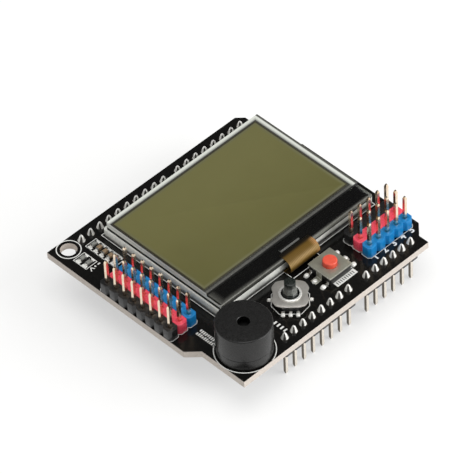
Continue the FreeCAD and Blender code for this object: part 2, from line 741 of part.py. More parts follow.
def make_lever_switch():
    """Five-way switch: base, cover, legs, dome, seat, rocker ring and the lever itself."""
    place = ("lever_across", "lever_along", "board_top", "lever_turn")
    base = Piece("lever_base", *place)
    base.pad(outline(base.sketch(), [
        ("-half_base + lever_cut_along", "-half_base"),
        ("half_base - lever_cut_along", "-half_base"),
        ("half_base", "-half_base + lever_cut_along"),
        ("half_base", "half_base - lever_cut_along"),
        ("half_base - lever_cut_along", "half_base"),
        ("-half_base + lever_cut_along", "half_base"),
        ("-half_base", "half_base - lever_cut_along"),
        ("-half_base", "-half_base + lever_cut_along"),
    ]), "lever_base_height")
    base.cut(circle(base.sketch("lever_floor"), "0", "0", "lever_well"), "lever_base_height - lever_floor")

    cover = Piece("lever_cover", *place)
    right_side = [
        ("half_lever - lever_cut_across", "-half_lever"),
        ("half_lever", "-half_lever + lever_cut_along"),
        ("half_lever", "-lever_waist_half"),
        ("half_lever - lever_waist", "-lever_waist_half + lever_waist"),
        ("half_lever - lever_waist", "lever_waist_half - lever_waist"),
        ("half_lever", "lever_waist_half"),
        ("half_lever", "half_lever - lever_cut_along"),
        ("half_lever - lever_cut_across", "half_lever"),
    ]
    left_side = [(f"-({across})", along) for across, along in reversed(right_side)]
    cover.pad(outline(cover.sketch("lever_base_height"), right_side + left_side), "cover_thick")
    cover.pad(circle(cover.sketch("cover_level"), "0", "0", "lever_ring_radius"), "lever_ring_rise")
    side = cover.pad(outline(cover.sketch("-tab_width / 2", plane="XZ_Plane"), [
        ("half_base", "0"),
        ("tab_reach", "0"),
        ("tab_reach", "leg_thick"),
        ("half_lever - lever_waist", "leg_thick"),
        ("half_lever - lever_waist", "lever_base_height"),
        ("half_base", "lever_base_height"),
    ]), "tab_width")
    cover.mirror([side], "YZ_Plane")
    cover.cut(circle(cover.sketch("lever_base_height"), "0", "0", "lever_opening"),
              "cover_thick + lever_ring_rise")

    make_legs("lever_legs", place, ["-leg_spacing", "0", "leg_spacing"],
              "half_base", "leg_reach", "leg_width")
    make_dome("lever_dome", place, "lever_floor")

    seat = Piece("lever_seat", *place)
    seat.pad(rectangle(seat.sketch("seat_low"), "-pad_reach", "pad_reach", "-seat_half", "seat_half"),
             "seat_thick")
    seat.pad(circle(seat.sketch("seat_top"), "0", "0", "boss_radius"), "boss_height")
    pad = seat.pad(rectangle(seat.sketch("seat_top"), "pad_reach - pad_length", "pad_reach",
                             "-pad_half", "pad_half"), "seat_pad")
    seat.mirror([pad], "YZ_Plane")

    ring = Piece("lever_ring", *place)
    band = circle(ring.sketch("ring_low"), "0", "0", "ring_outer")
    circle(band, "0", "0", "ring_inner")
    ring.pad(band, "ring_thick")
    pad = ring.pad(rectangle(ring.sketch("ring_high"), "-pad_half", "pad_half",
                             "pad_reach - pad_length", "pad_reach"), "lever_pivot - ring_high")
    ring.mirror([pad], "XZ_Plane")

    lever = Piece("lever_stick", *place)
    ball = [(f"lever_ball_radius * cos({angle})", f"lever_pivot + lever_ball_radius * sin({angle})")
            for angle in (0, 20, 40, 60, 80)]
    lever.turned([
        ("0", "lever_pivot - foot_radius"),
        ("foot_radius * sin(30)", "lever_pivot - foot_radius * cos(30)"),
        ("foot_radius", "lever_pivot"),
        *ball,
        ("0", "lever_pivot + lever_ball_radius * sin(80)"),
    ])
    lever.pad(square(lever.sketch("lever_pivot"), "0", "0", "lever_post"),
              "lever_height - lever_head_height - lever_pivot")
    head = lever.sketch("lever_height - lever_head_height")
    cut = "lever_head * (2 - sqrt(2))"
    lever.pad(outline(head, [
        (f"-lever_head + {cut}", "-lever_head"),
        (f"lever_head - {cut}", "-lever_head"),
        ("lever_head", f"-lever_head + {cut}"),
        ("lever_head", f"lever_head - {cut}"),
        (f"lever_head - {cut}", "lever_head"),
        (f"-lever_head + {cut}", "lever_head"),
        ("-lever_head", f"lever_head - {cut}"),
        ("-lever_head", f"-lever_head + {cut}"),
    ]), "lever_head_height")


def make_reset_button():
    """Push button: base with a well, metal cover with side flaps, legs, dome and red cap."""
    place = ("reset_across", "reset_along", "board_top")
    base = Piece("reset_base", *place)
    base.pad(square(base.sketch(), "0", "0", "half_reset_base"), "reset_base_height")
    base.cut(circle(base.sketch("reset_floor"), "0", "0", "reset_well"), "reset_base_height - reset_floor")

    cover = Piece("reset_cover", *place)
    cover.pad(square(cover.sketch("reset_base_height"), "0", "0", "half_reset"), "cover_thick")
    flap = cover.pad(outline(cover.sketch("-reset_flap_width / 2", plane="XZ_Plane"), [
        ("half_reset_base", "0"),
        ("reset_leg_reach", "0"),
        ("reset_leg_reach", "leg_thick"),
        ("half_reset", "leg_thick"),
        ("half_reset", "reset_base_height"),
        ("half_reset_base", "reset_base_height"),
    ]), "reset_flap_width")
    cover.mirror([flap], "YZ_Plane")
    cover.cut(circle(cover.sketch("reset_base_height"), "0", "0", "reset_stem + reset_stem_gap"),
              "cover_thick")

    legs = Piece("reset_legs", *place)
    for side in ("-", "+"):
        profile = outline(legs.sketch(f"{side}reset_leg_spacing - leg_width / 2", plane="XZ_Plane"), [
            ("half_reset_base", "0"),
            ("reset_leg_reach", "0"),
            ("reset_leg_reach", "leg_thick"),
            ("half_reset_base + leg_thick", "leg_thick"),
            ("half_reset_base + leg_thick", "leg_rise"),
            ("half_reset_base", "leg_rise"),
        ])
        leg = legs.pad(profile, "leg_width")
        legs.mirror([leg], "YZ_Plane")
    make_dome("reset_dome", place, "reset_floor")

    cap = Piece("reset_cap", *place)
    cap.turned([
        ("0", "reset_cap_low"),
        ("reset_flange", "reset_cap_low"),
        ("reset_flange", "reset_flange_top"),
        ("reset_stem", "reset_flange_top"),
        ("reset_stem", "reset_height - reset_cap_edge"),
        ("reset_stem - reset_cap_edge", "reset_height"),
        ("0", "reset_height"),
    ])


def chip_part(piece, height, across="0", along="0"):
    """One chip part: its body and a slightly larger metal end at each side."""
    side = "chip_part_width / 2"
    body = piece.pad(rectangle(piece.sketch(), f"{across} - half_chip + chip_end",
                               f"{across} + half_chip - chip_end",
                               f"{along} - {side}", f"{along} + {side}"), height)
    parts = [body]
    for left, right in (("- half_chip", "- half_chip + chip_end"), ("+ half_chip - chip_end", "+ half_chip")):
        plan = rectangle(piece.sketch(), f"{across} {left}", f"{across} {right}",
                         f"{along} - {side} - chip_end_step", f"{along} + {side} + chip_end_step")
        parts.append(piece.pad(plan, f"{height} + chip_end_step"))
    return parts


def make_chip_parts():
    """Chip resistors and capacitors in two groups beside the mounting hole."""
    pair_start = "chip_pair_along - chip_pair_pitch * (chip_pair_count - 1)"
    resistors = Piece("chip_resistors", "chip_pair_across", pair_start, "board_top")
    resistors.repeat(chip_part(resistors, "resistor_height"), "Y_Axis", "chip_pair_pitch",
                     "chip_pair_count")
    chip_part(resistors, "resistor_height", "chip_row_across - chip_pair_across",
              f"chip_row_along - ({pair_start})")
    capacitors = Piece("chip_capacitors", "chip_row_across",
                       "chip_row_along - chip_row_pitch * capacitor_count", "board_top")
    capacitors.repeat(chip_part(capacitors, "capacitor_height"), "Y_Axis", "chip_row_pitch",
                      "capacitor_count")


def check_document():
    """Stop at the first failed object, empty shape or cut that removes nothing."""
    for item in document.Objects:
        if "Invalid" in item.State or "Error" in item.State:
            raise RuntimeError("failed object: " + item.Label)
        if item.TypeId == "PartDesign::Pocket":
            before = item.BaseFeature.Shape.Volume
            if item.Shape.Volume > before - 1e-6:
                raise RuntimeError("cut removes nothing: " + item.Label)


def write_parts():
    """Write each body's shape to its own file."""
    os.makedirs("parts", exist_ok=True)
    for body in document.Objects:
        if body.TypeId != "PartDesign::Body":
            continue
        if body.Shape.isNull() or not body.Shape.isValid():
            raise RuntimeError("bad shape: " + body.Label)
        body.Shape.exportStep(f"parts/{body.Label}.step")
        box = body.Shape.BoundBox
        print(body.Label, len(body.Shape.Solids), round(body.Shape.Volume, 3),
              round(box.ZMin, 3), round(box.ZMax, 3))


make_board()
make_stacking_headers()
make_signal_headers()
make_backlight()
make_glass()
make_flex_tail()
make_buzzer()
make_lever_switch()
make_reset_button()
make_chip_parts()
document.recompute()
check_document()
write_parts()
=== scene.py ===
"""Looks of a graphic display board: its finishes, its finer meshes, and the studio round it.

All sizes are millimetres in the part's own frame: +X along the header rows, +Y towards
the back row, +Z up, the origin under the board's middle at the tips of the stacking pins.
"""

import logging
import math
import random
from dataclasses import dataclass
from enum import Enum
from typing import Iterable, Sequence

import bmesh
import bpy
from mathutils import Matrix, Vector


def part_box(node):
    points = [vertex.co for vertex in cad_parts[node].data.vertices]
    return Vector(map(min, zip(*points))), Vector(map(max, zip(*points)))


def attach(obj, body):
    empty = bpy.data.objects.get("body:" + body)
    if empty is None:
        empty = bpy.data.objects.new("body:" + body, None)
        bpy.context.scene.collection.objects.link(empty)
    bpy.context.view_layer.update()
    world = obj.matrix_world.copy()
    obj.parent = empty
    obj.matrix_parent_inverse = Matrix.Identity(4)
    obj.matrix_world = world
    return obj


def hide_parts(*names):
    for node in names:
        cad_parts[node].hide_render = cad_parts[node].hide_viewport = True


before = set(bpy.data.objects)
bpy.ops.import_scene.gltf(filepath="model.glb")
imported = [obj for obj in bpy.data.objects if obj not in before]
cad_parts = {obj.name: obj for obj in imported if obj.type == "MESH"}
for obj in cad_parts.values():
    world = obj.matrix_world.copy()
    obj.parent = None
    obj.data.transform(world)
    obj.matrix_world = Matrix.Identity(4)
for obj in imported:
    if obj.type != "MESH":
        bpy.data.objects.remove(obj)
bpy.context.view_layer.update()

MM = 0.001
BOARD_TOP = 10.14
BOARD_LOW = 8.54
PITCH = 2.54
SHARP = 0.45
LOG = logging.getLogger("display_board")

Colour = tuple[float, float, float]
Spot = tuple[float, float]
Socket = bpy.types.NodeSocket


class Body(Enum):
    """The bodies that pieces ride on."""

    BOARD = "board"
    RESET = "reset_button"
    LEVER = "lever"


class Along(Enum):
    """The direction in which a row of pins runs."""

    X = 0
    Y = 1


# Shader tools


class NodeDesk:
    """Adds and links shader nodes in one tree."""

    def __init__(self, tree: bpy.types.NodeTree) -> None:
        """Work in this tree."""
        self.tree = tree

    def add(self, kind: str, **settings: object) -> bpy.types.Node:
        """Add one node.

        Args:
            kind: The node's type without its ShaderNode prefix.
            settings: Properties to set on the node.

        Returns:
            The new node.
        """
        node = self.tree.nodes.new("ShaderNode" + kind)
        for name, value in settings.items():
            setattr(node, name, value)
        return node

    def put(self, socket: Socket, value: object) -> None:
        """Link an output to an input, or set the input's plain value.

        Args:
            socket: The input to fill.
            value: Output socket or plain value.
        """
        if isinstance(value, bpy.types.NodeSocket):
            self.tree.links.new(value, socket)
        elif isinstance(value, tuple) and len(value) == 3 and socket.type == "RGBA":
            socket.default_value = (*value, 1.0)
        else:
            socket.default_value = value

    def math(self, operation: str, first: object, second: object = 0.0, clamp: bool = False) -> Socket:
        """One sum of two values.

        Args:
            operation: Blender's name for the sum.
            first: Socket or number.
            second: Socket or number.
            clamp: Hold the result between 0 and 1.

        Returns:
            The result's socket.
        """
        node = self.add("Math", operation=operation, use_clamp=clamp)
        self.put(node.inputs[0], first)
        self.put(node.inputs[1], second)
        return node.outputs[0]

    def place(self) -> Socket:
        """The surface point in millimetres of the part's frame.

        Returns:
            The point's socket.
        """
        coordinates = self.add("TexCoord")
        scaled = self.add("VectorMath", operation="SCALE")
        self.put(scaled.inputs[0], coordinates.outputs["Object"])
        scaled.inputs["Scale"].default_value = 1.0 / MM
        return scaled.outputs[0]

    def axes(self, vector: Socket) -> tuple[Socket, Socket, Socket]:
        """The three numbers of a vector.

        Args:
            vector: Vector socket.

        Returns:
            The three sockets.
        """
        parts = self.add("SeparateXYZ")
        self.put(parts.inputs[0], vector)
        return parts.outputs[0], parts.outputs[1], parts.outputs[2]

    def upward(self) -> Socket:
        """The upward share of the true normal, from -1 to 1."""
        geometry = self.add("NewGeometry")
        return self.axes(geometry.outputs["True Normal"])[2]

    def noise(self, vector: Socket, scale: object, detail: float = 3.0) -> Socket:
        """Soft noise from 0 to 1 with this many patches per millimetre.

        Args:
            vector: Vector socket.
            scale: Patches per millimetre, a number or a socket.
            detail: Levels of finer noise.

        Returns:
            The noise's socket.
        """
        node = self.add("TexNoise")
        self.put(node.inputs["Vector"], vector)
        self.put(node.inputs["Scale"], scale)
        node.inputs["Detail"].default_value = detail
        return node.outputs["Fac"]

    def spread(self, value: Socket, low: float, high: float,
               to_low: object = 0.0, to_high: object = 1.0) -> Socket:
        """Stretch a range of values over another.

        Args:
            value: The socket to stretch.
            low: Input value that gives to_low.
            high: Input value that gives to_high.
            to_low: Result at low.
            to_high: Result at high.

        Returns:
            The stretched value, held between the two results.
        """
        node = self.add("MapRange", interpolation_type="SMOOTHSTEP")
        self.put(node.inputs["Value"], value)
        self.put(node.inputs["From Min"], low)
        self.put(node.inputs["From Max"], high)
        self.put(node.inputs["To Min"], to_low)
        self.put(node.inputs["To Max"], to_high)
        return node.outputs["Result"]

    def blend(self, mask: object, first: object, second: object) -> Socket:
        """Mix two colours, the second where the mask is 1.

        Args:
            mask: Number or socket from 0 to 1.
            first: Colour or socket where the mask is 0.
            second: Colour or socket where the mask is 1.

        Returns:
            The mixed colour's socket.
        """
        node = self.add("Mix", data_type="RGBA")
        self.put(node.inputs["Factor"], mask)
        self.put(node.inputs[6], first)
        self.put(node.inputs[7], second)
        return node.outputs[2]

    def effect(self, group: bpy.types.NodeTree, **values: object) -> bpy.types.Node:
        """Place a shared effect with its own values, underscores standing for spaces.

        Args:
            group: The shared effect.
            values: Input names with numbers or sockets.

        Returns:
            The placed group.
        """
        node = self.add("Group", node_tree=group)
        for name, value in values.items():
            self.put(node.inputs[name.replace("_", " ").title()], value)
        return node


class Effects:
    """The shader effects that several materials share, each built once."""

    def __init__(self) -> None:
        """Build every shared group."""
        self.mottle = self._mottle()
        self.grain = self._grain()
        self.rim = self._rim()
        self.dust = self._dust()
        self.border = self._border()
        self.drag = self._drag()

    @staticmethod
    def _group(name: str, inputs: dict[str, float], outputs: Iterable[str]) -> tuple[NodeDesk, dict, dict]:
        """Start a group with number inputs and outputs.

        Args:
            name: The group's name.
            inputs: Input names with their first values.
            outputs: Output names.

        Returns:
            The desk, the input sockets and the output sockets, by name.
        """
        tree = bpy.data.node_groups.new(name, "ShaderNodeTree")
        for label, value in inputs.items():
            made = tree.interface.new_socket(label, in_out="INPUT", socket_type="NodeSocketFloat")
            made.default_value = value
        for label in outputs:
            tree.interface.new_socket(label, in_out="OUTPUT", socket_type="NodeSocketFloat")
        desk = NodeDesk(tree)
        start = tree.nodes.new("NodeGroupInput")
        end = tree.nodes.new("NodeGroupOutput")
        return desk, dict(start.outputs.items()), dict(end.inputs.items())

    def _mottle(self) -> bpy.types.NodeTree:
        """Soft patches between two values.

        Returns:
            The group.
        """
        desk, given, result = self._group("soft_patches", {"Scale": 1.0, "Low": 0.0, "High": 1.0}, ["Value"])
        patches = desk.noise(desk.place(), given["Scale"])
        desk.put(result["Value"], desk.spread(patches, 0.32, 0.68, given["Low"], given["High"]))
        return desk.tree

    def _grain(self) -> bpy.types.NodeTree:
        """Fine moulded or etched grain as a height.

        Returns:
            The group.
        """
        desk, given, result = self._group("fine_grain", {"Scale": 12.0}, ["Height"])
        spots = desk.add("TexVoronoi")
        desk.put(spots.inputs["Vector"], desk.place())
        desk.put(spots.inputs["Scale"], given["Scale"])
        soft = desk.noise(desk.place(), given["Scale"], 4.0)
        cells = desk.math("MULTIPLY", spots.outputs["Distance"], 0.6)
        desk.put(result["Height"], desk.math("ADD", soft, cells))
        return desk.tree

    def _rim(self) -> bpy.types.NodeTree:
        """Mask of the narrow band beside sharp edges.

        Returns:
            The group.
        """
        desk, given, result = self._group("edge_band", {"Width": 0.1, "Strength": 4.0}, ["Mask"])
        rounded = desk.add("Bevel", samples=4)
        desk.put(rounded.inputs["Radius"], desk.math("MULTIPLY", given["Width"], MM))
        geometry = desk.add("NewGeometry")
        facing = desk.add("VectorMath", operation="DOT_PRODUCT")
        desk.put(facing.inputs[0], rounded.outputs[0])
        desk.put(facing.inputs[1], geometry.outputs["Normal"])
        away = desk.math("SUBTRACT", 1.0, facing.outputs["Value"])
        desk.put(result["Mask"], desk.math("MULTIPLY", away, given["Strength"], clamp=True))
        return desk.tree

    def _dust(self) -> bpy.types.NodeTree:
        """Mask of fine specks that lie on faces that look up.

        Returns:
            The group.
        """
        desk, given, result = self._group("settled_specks", {"Scale": 3.0, "Amount": 0.3}, ["Mask"])
        specks = desk.spread(desk.noise(desk.place(), given["Scale"], 6.0), 0.58, 0.72)
        lying = desk.spread(desk.upward(), 0.4, 0.9)
        desk.put(result["Mask"], desk.math("MULTIPLY", desk.math("MULTIPLY", specks, lying), given["Amount"]))
        return desk.tree

    def _border(self) -> bpy.types.NodeTree:
        """Distance in millimetres from the nearest side of a rectangle.

        Returns:
            The group.
        """
        names = {"Centre X": 0.0, "Centre Y": 0.0, "Half X": 1.0, "Half Y": 1.0}
        desk, given, result = self._group("side_distance", names, ["Distance"])
        across, along, _ = desk.axes(desk.place())
        gaps = []
        for value, axis in ((across, "X"), (along, "Y")):
            off = desk.math("ABSOLUTE", desk.math("SUBTRACT", value, given["Centre " + axis]))
            gaps.append(desk.math("SUBTRACT", given["Half " + axis], off))
        desk.put(result["Distance"], desk.math("MINIMUM", *gaps))
        return desk.tree

    def _drag(self) -> bpy.types.NodeTree:
        """Streaks that run along Z, as drawn or stamped metal has.

        Returns:
            The group.
        """
        desk, given, result = self._group("drawn_streaks", {"Scale": 14.0, "Stretch": 0.06}, ["Height"])
        mapping = desk.add("CombineXYZ")
        across, along, up = desk.axes(desk.place())
        desk.put(mapping.inputs[0], across)
        desk.put(mapping.inputs[1], along)
        desk.put(mapping.inputs[2], desk.math("MULTIPLY", up, given["Stretch"]))
        desk.put(result["Height"], desk.noise(mapping.outputs[0], given["Scale"], 2.0))
        return desk.tree


EFFECTS = Effects()


# Finishes


@dataclass(frozen=True)
class Finish:
    """A surface finish with patches of a second colour, grain, a lighter edge band that stands partly for
    wear and partly for painted edge highlights, and specks.
    """

    name: str
    colour: Colour
    second: Colour
    metallic: float = 0.0
    roughness: float = 0.4
    swing: float = 0.08
    coat: float = 0.0
    patches: float = 1.2
    grain: float = 12.0
    depth: float = 0.06
    edge: Colour | None = None
    edge_width: float = 0.1
    specks: float = 0.0
    streaks: bool = False

    def base(self, desk: NodeDesk) -> Socket:
        """Colour over the surface, before edges and specks."""
        mask = desk.effect(EFFECTS.mottle, scale=self.patches, low=0.0, high=1.0)
        return desk.blend(mask.outputs[0], self.colour, self.second)

    def rough(self, desk: NodeDesk) -> Socket:
        """Roughness over the surface.

        Args:
            desk: Desk of the material's tree.

        Returns:
            The roughness's socket.
        """
        low = max(0.02, self.roughness - self.swing)
        return desk.effect(EFFECTS.mottle, scale=self.patches * 2.3, low=low,
                           high=self.roughness + self.swing).outputs[0]

    def height(self, desk: NodeDesk) -> Socket:
        """Height that the bump follows.

        Args:
            desk: Desk of the material's tree.

        Returns:
            The height's socket.
        """
        if self.streaks:
            return desk.effect(EFFECTS.drag, scale=self.grain).outputs[0]
        return desk.effect(EFFECTS.grain, scale=self.grain).outputs[0]

    def plain_numbers(self, shader: bpy.types.Node) -> None:
        """Set what is the same all over the surface.

        Args:
            shader: The material's Principled BSDF.
        """
        shader.inputs["Metallic"].default_value = self.metallic
        shader.inputs["Coat Weight"].default_value = self.coat
        shader.inputs["Coat Roughness"].default_value = 0.08

    def build(self) -> bpy.types.Material:
        """Make the material, or find it where it is made already.

        Returns:
            The finished material.
        """
        made = bpy.data.materials.get(self.name)
        if made is not None:
            return made
        made = bpy.data.materials.new(self.name)
        made.use_nodes = True
        desk = NodeDesk(made.node_tree)
        shader = made.node_tree.nodes["Principled BSDF"]
        colour = self.base(desk)
        # The edge colour is partly wear and partly a painted highlight where sharp edges catch the light.
        if self.edge is not None:
            rim = desk.effect(EFFECTS.rim, width=self.edge_width)
            colour = desk.blend(rim.outputs[0], colour, self.edge)
        if self.specks:
            specks = desk.effect(EFFECTS.dust, amount=self.specks)
            colour = desk.blend(specks.outputs[0], colour, (0.5, 0.48, 0.44))
        desk.put(shader.inputs["Base Color"], colour)
        desk.put(shader.inputs["Roughness"], self.rough(desk))
        bump = desk.add("Bump")
        bump.inputs["Strength"].default_value = self.depth
        bump.inputs["Distance"].default_value = 0.05 * MM
        desk.put(bump.inputs["Height"], self.height(desk))
        desk.put(shader.inputs["Normal"], bump.outputs[0])
        self.plain_numbers(shader)
        return made


@dataclass(frozen=True)
class MaskedBoard(Finish):
    """Gloss solder mask on both faces, bare woven laminate on every cut edge."""

    laminate: Colour = (0.76, 0.69, 0.63)
    laminate_dark: Colour = (0.62, 0.55, 0.49)

    def _cut(self, desk: NodeDesk) -> Socket:
        """Mask of the cut edges."""
        return desk.math("LESS_THAN", desk.math("ABSOLUTE", desk.upward()), 0.5)

    def base(self, desk: NodeDesk) -> Socket:
        """Mask colour on the faces, layered laminate on the edges.

        Args:
            desk: Desk of the material's tree.

        Returns:
            The colour's socket.
        """
        face = super().base(desk)
        up = desk.axes(desk.place())[2]
        layers = desk.math("SINE", desk.math("MULTIPLY", up, 19.0))
        weave = desk.noise(desk.place(), 4.0, 4.0)
        tone = desk.math("ADD", desk.math("MULTIPLY", layers, 0.12), weave)
        edge = desk.blend(desk.spread(tone, 0.3, 0.75), self.laminate_dark, self.laminate)
        return desk.blend(self._cut(desk), face, edge)

    def rough(self, desk: NodeDesk) -> Socket:
        """Smooth mask, rough cut edges."""
        return desk.math("ADD", super().rough(desk), desk.math("MULTIPLY", self._cut(desk), 0.5))


@dataclass(frozen=True)
class MilkyBody(Finish):
    """Milky light-guide plastic with painted shade that greys it towards the board it stands on."""

    low: float = BOARD_TOP + 0.35
    high: float = BOARD_TOP + 1.2
    # Painted shade: the dark colour that the wall takes near the board.
    foot: Colour = (0.03, 0.03, 0.026)
    shaded_from: float = 8.5
    shaded_rise: float = 0.45

    def base(self, desk: NodeDesk) -> Socket:
        """Painted shade: grey at the foot, milk white above, and grey further up beside the flex.

        Args:
            desk: Desk of the material's tree.

        Returns:
            The colour's socket.
        """
        across, _, up = desk.axes(desk.place())
        # Painted shade: right of the flex the wall stays grey higher up.
        rise = desk.math("MULTIPLY", desk.math("GREATER_THAN", across, self.shaded_from), self.shaded_rise)
        level = desk.math("SUBTRACT", up, rise)
        return desk.blend(desk.spread(level, self.low, self.high), self.foot, super().base(desk))


@dataclass(frozen=True)
class DisplayFilm(Finish):
    """Olive display film with a dark seal line and a paler band inside it."""

    centre: Spot = (0.0, 0.0)
    half: Spot = (1.0, 1.0)
    seal: Colour = (0.055, 0.050, 0.030)
    pale: Colour = (0.152, 0.150, 0.075)

    def base(self, desk: NodeDesk) -> Socket:
        """Olive field, pale band and seal line by distance from the sides.

        Args:
            desk: Desk of the material's tree.

        Returns:
            The colour's socket.
        """
        gap = desk.effect(EFFECTS.border, centre_x=self.centre[0], centre_y=self.centre[1],
                          half_x=self.half[0], half_y=self.half[1]).outputs[0]
        along = desk.axes(desk.place())[1]
        tone = desk.math("ADD", along, desk.math("MULTIPLY", desk.noise(desk.place(), 0.2), 6.0))
        fade = desk.spread(tone, self.centre[1] - self.half[1], self.centre[1] + self.half[1] + 4.0)
        field_colour = desk.blend(fade, self.colour, self.second)
        inner = desk.blend(desk.spread(gap, 0.35, 1.1), self.pale, field_colour)
        return desk.blend(desk.spread(gap, 0.16, 0.42), self.seal, inner)

    def height(self, desk: NodeDesk) -> Socket:
        """The faint lattice of picture cells under the film.

        Args:
            desk: Desk of the material's tree.

        Returns:
            The height's socket.
        """
        across, along, _ = desk.axes(desk.place())
        rows = desk.math("SINE", desk.math("MULTIPLY", along, 2 * math.pi / 0.36))
        columns = desk.math("SINE", desk.math("MULTIPLY", across, 2 * math.pi / 0.30))
        return desk.math("MULTIPLY", desk.math("MAXIMUM", rows, columns), 0.2)


@dataclass(frozen=True)
class LitMargin(Finish):
    """Bare glass margin beside the film, with painted light and shade: a dark line, then grey in front and
    ever paler elsewhere, where the lit frame shows through.
    """

    film: tuple[float, float, float, float] = (0.0, 1.0, 0.0, 1.0)
    line: Colour = (0.05, 0.05, 0.043)
    # pale: painted light of the lit frame seen through the glass.
    pale: Colour = (0.70, 0.72, 0.66)
    rim: Colour = (0.09, 0.09, 0.08)

    def base(self, desk: NodeDesk) -> Socket:
        """Colour by distance from the film's sides, with painted light paler at the back and right.

        Args:
            desk: Desk of the material's tree.

        Returns:
            The colour's socket.
        """
        left, right, front, back = self.film
        across, along, _ = desk.axes(desk.place())
        behind = desk.math("SUBTRACT", along, back)
        beside = desk.math("SUBTRACT", across, right)
        before = desk.math("SUBTRACT", front, along)
        leftward = desk.math("SUBTRACT", left, across)
        lit = desk.math("MAXIMUM", behind, beside)
        away = desk.math("MAXIMUM", lit, desk.math("MAXIMUM", before, leftward))
        # Painted light: the back and right margins are paler where the frame under them is lit.
        shade = desk.blend(desk.spread(lit, 0.1, 1.05), super().base(desk), self.pale)
        shade = desk.blend(desk.spread(beside, 1.2, 1.45), shade, self.rim)
        return desk.blend(desk.spread(away, 0.25, 0.5), self.line, shade)


@dataclass(frozen=True)
class LedgeCoat(Finish):
    """Black ledge coat that turns grey towards its left end and along its front."""

    centre: Spot = (0.0, 0.0)
    half: Spot = (1.0, 1.0)
    thinned: Colour = (0.09, 0.09, 0.08)

    def base(self, desk: NodeDesk) -> Socket:
        """Grey towards the left end and the front, black elsewhere.

        Args:
            desk: Desk of the material's tree.

        Returns:
            The colour's socket.
        """
        across, along, _ = desk.axes(desk.place())
        from_left = desk.math("SUBTRACT", across, self.centre[0] - self.half[0])
        from_front = desk.math("SUBTRACT", along, self.centre[1] - self.half[1])
        gap = desk.math("MINIMUM", from_front, desk.math("MULTIPLY", from_left, 0.5))
        reach = desk.spread(from_left, 0.0, 20.0, 1.0, 0.4)
        # Grey share, rising towards the front and towards the left end.
        thin = desk.math("SUBTRACT", 1.0, desk.math("DIVIDE", gap, reach), clamp=True)
        return desk.blend(desk.math("POWER", thin, 1.6), super().base(desk), self.thinned)


@dataclass(frozen=True)
class AmberFilm(Finish):
    """Amber film over fine copper tracks that run to the glass, with painted highlights and painted shade."""

    lit_end: Colour = (0.46, 0.24, 0.09)
    lit_from: float = 6.9
    lit_to: float = 8.4
    glass_front: float = -11.72
    # Painted highlight on the bend, and painted shade colour for its lower half.
    ridge: Colour = (0.36, 0.235, 0.085)
    under: Colour = (0.030, 0.017, 0.005)
    middle: float = 12.2

    def base(self, desk: NodeDesk) -> Socket:
        """Amber with darker gaps between tracks, a painted highlight on the bend and at the right end,
        painted shade below, and dark on the coated glass.

        Args:
            desk: Desk of the material's tree.

        Returns:
            The colour's socket.
        """
        across, along, up = desk.axes(desk.place())
        track = desk.math("SINE", desk.math("MULTIPLY", across, 2 * math.pi / 0.34))
        # Painted highlight towards the right end.
        amber = desk.blend(desk.spread(across, self.lit_from, self.lit_to), self.colour, self.lit_end)
        bent = desk.math("LESS_THAN", along, self.glass_front)
        # Painted highlight along the bend's ridge.
        raised = desk.math("MULTIPLY", bent, desk.spread(up, self.middle - 0.1, self.middle + 0.75))
        fallen = desk.math("SUBTRACT", 1.0, desk.spread(up, self.middle + 0.85, self.middle + 1.55))
        amber = desk.blend(desk.math("MULTIPLY", raised, fallen), amber, self.ridge)
        lined = desk.blend(desk.spread(track, -0.9, 0.5, 0.45, 1.0), self.second, amber)
        # Painted shade on the lower half of the bend.
        sunk = desk.math("SUBTRACT", 1.0, desk.spread(up, self.middle - 1.0, self.middle + 0.1))
        lined = desk.blend(desk.math("MULTIPLY", bent, sunk), lined, self.under)
        on_glass = desk.spread(along, self.glass_front - 0.1, self.glass_front + 0.9)
        high = desk.math("GREATER_THAN", up, BOARD_TOP + 3.0)
        return desk.blend(desk.math("MULTIPLY", on_glass, high), lined, (0.010, 0.007, 0.003))

    def plain_numbers(self, shader: bpy.types.Node) -> None:
        """Film with a weak gloss."""
        super().plain_numbers(shader)
        shader.inputs["Specular IOR Level"].default_value = 0.2


@dataclass(frozen=True)
class ClearGlass(Finish):
    """Clear plate glass, so thin that light passes straight through it."""

    def plain_numbers(self, shader: bpy.types.Node) -> None:
        """Clear with a gloss on its faces, and hardly any shade behind it.

        Args:
            shader: The material's Principled BSDF.
        """
        super().plain_numbers(shader)
        shader.inputs["IOR"].default_value = 1.0
        shader.inputs["Transmission Weight"].default_value = 1.0
        desk = NodeDesk(shader.id_data)
        path = desk.add("LightPath")
        shade = desk.math("MULTIPLY", path.outputs["Is Shadow Ray"], 0.92)
        desk.put(shader.inputs["Alpha"], desk.math("SUBTRACT", 1.0, shade))


@dataclass(frozen=True)
class GroundSide(Finish):
    """Ground side of a glass plate, with painted light: pale on its left-facing side and lit beyond the flex.
    """

    # end: painted light on the left-facing sides.
    end: Colour = (0.80, 0.81, 0.76)
    lit: Colour = (0.27, 0.273, 0.24)
    lit_from: float = 8.5

    def base(self, desk: NodeDesk) -> Socket:
        """Dark along the front, with painted light paler right of the flex and palest on the left side.

        Args:
            desk: Desk of the material's tree.

        Returns:
            The colour's socket.
        """
        geometry = desk.add("NewGeometry")
        leftward = desk.math("LESS_THAN", desk.axes(geometry.outputs["True Normal"])[0], -0.5)
        beyond = desk.math("GREATER_THAN", desk.axes(desk.place())[0], self.lit_from)
        front = desk.blend(beyond, super().base(desk), self.lit)
        # Painted light: left-facing sides are pale.
        return desk.blend(leftward, front, self.end)


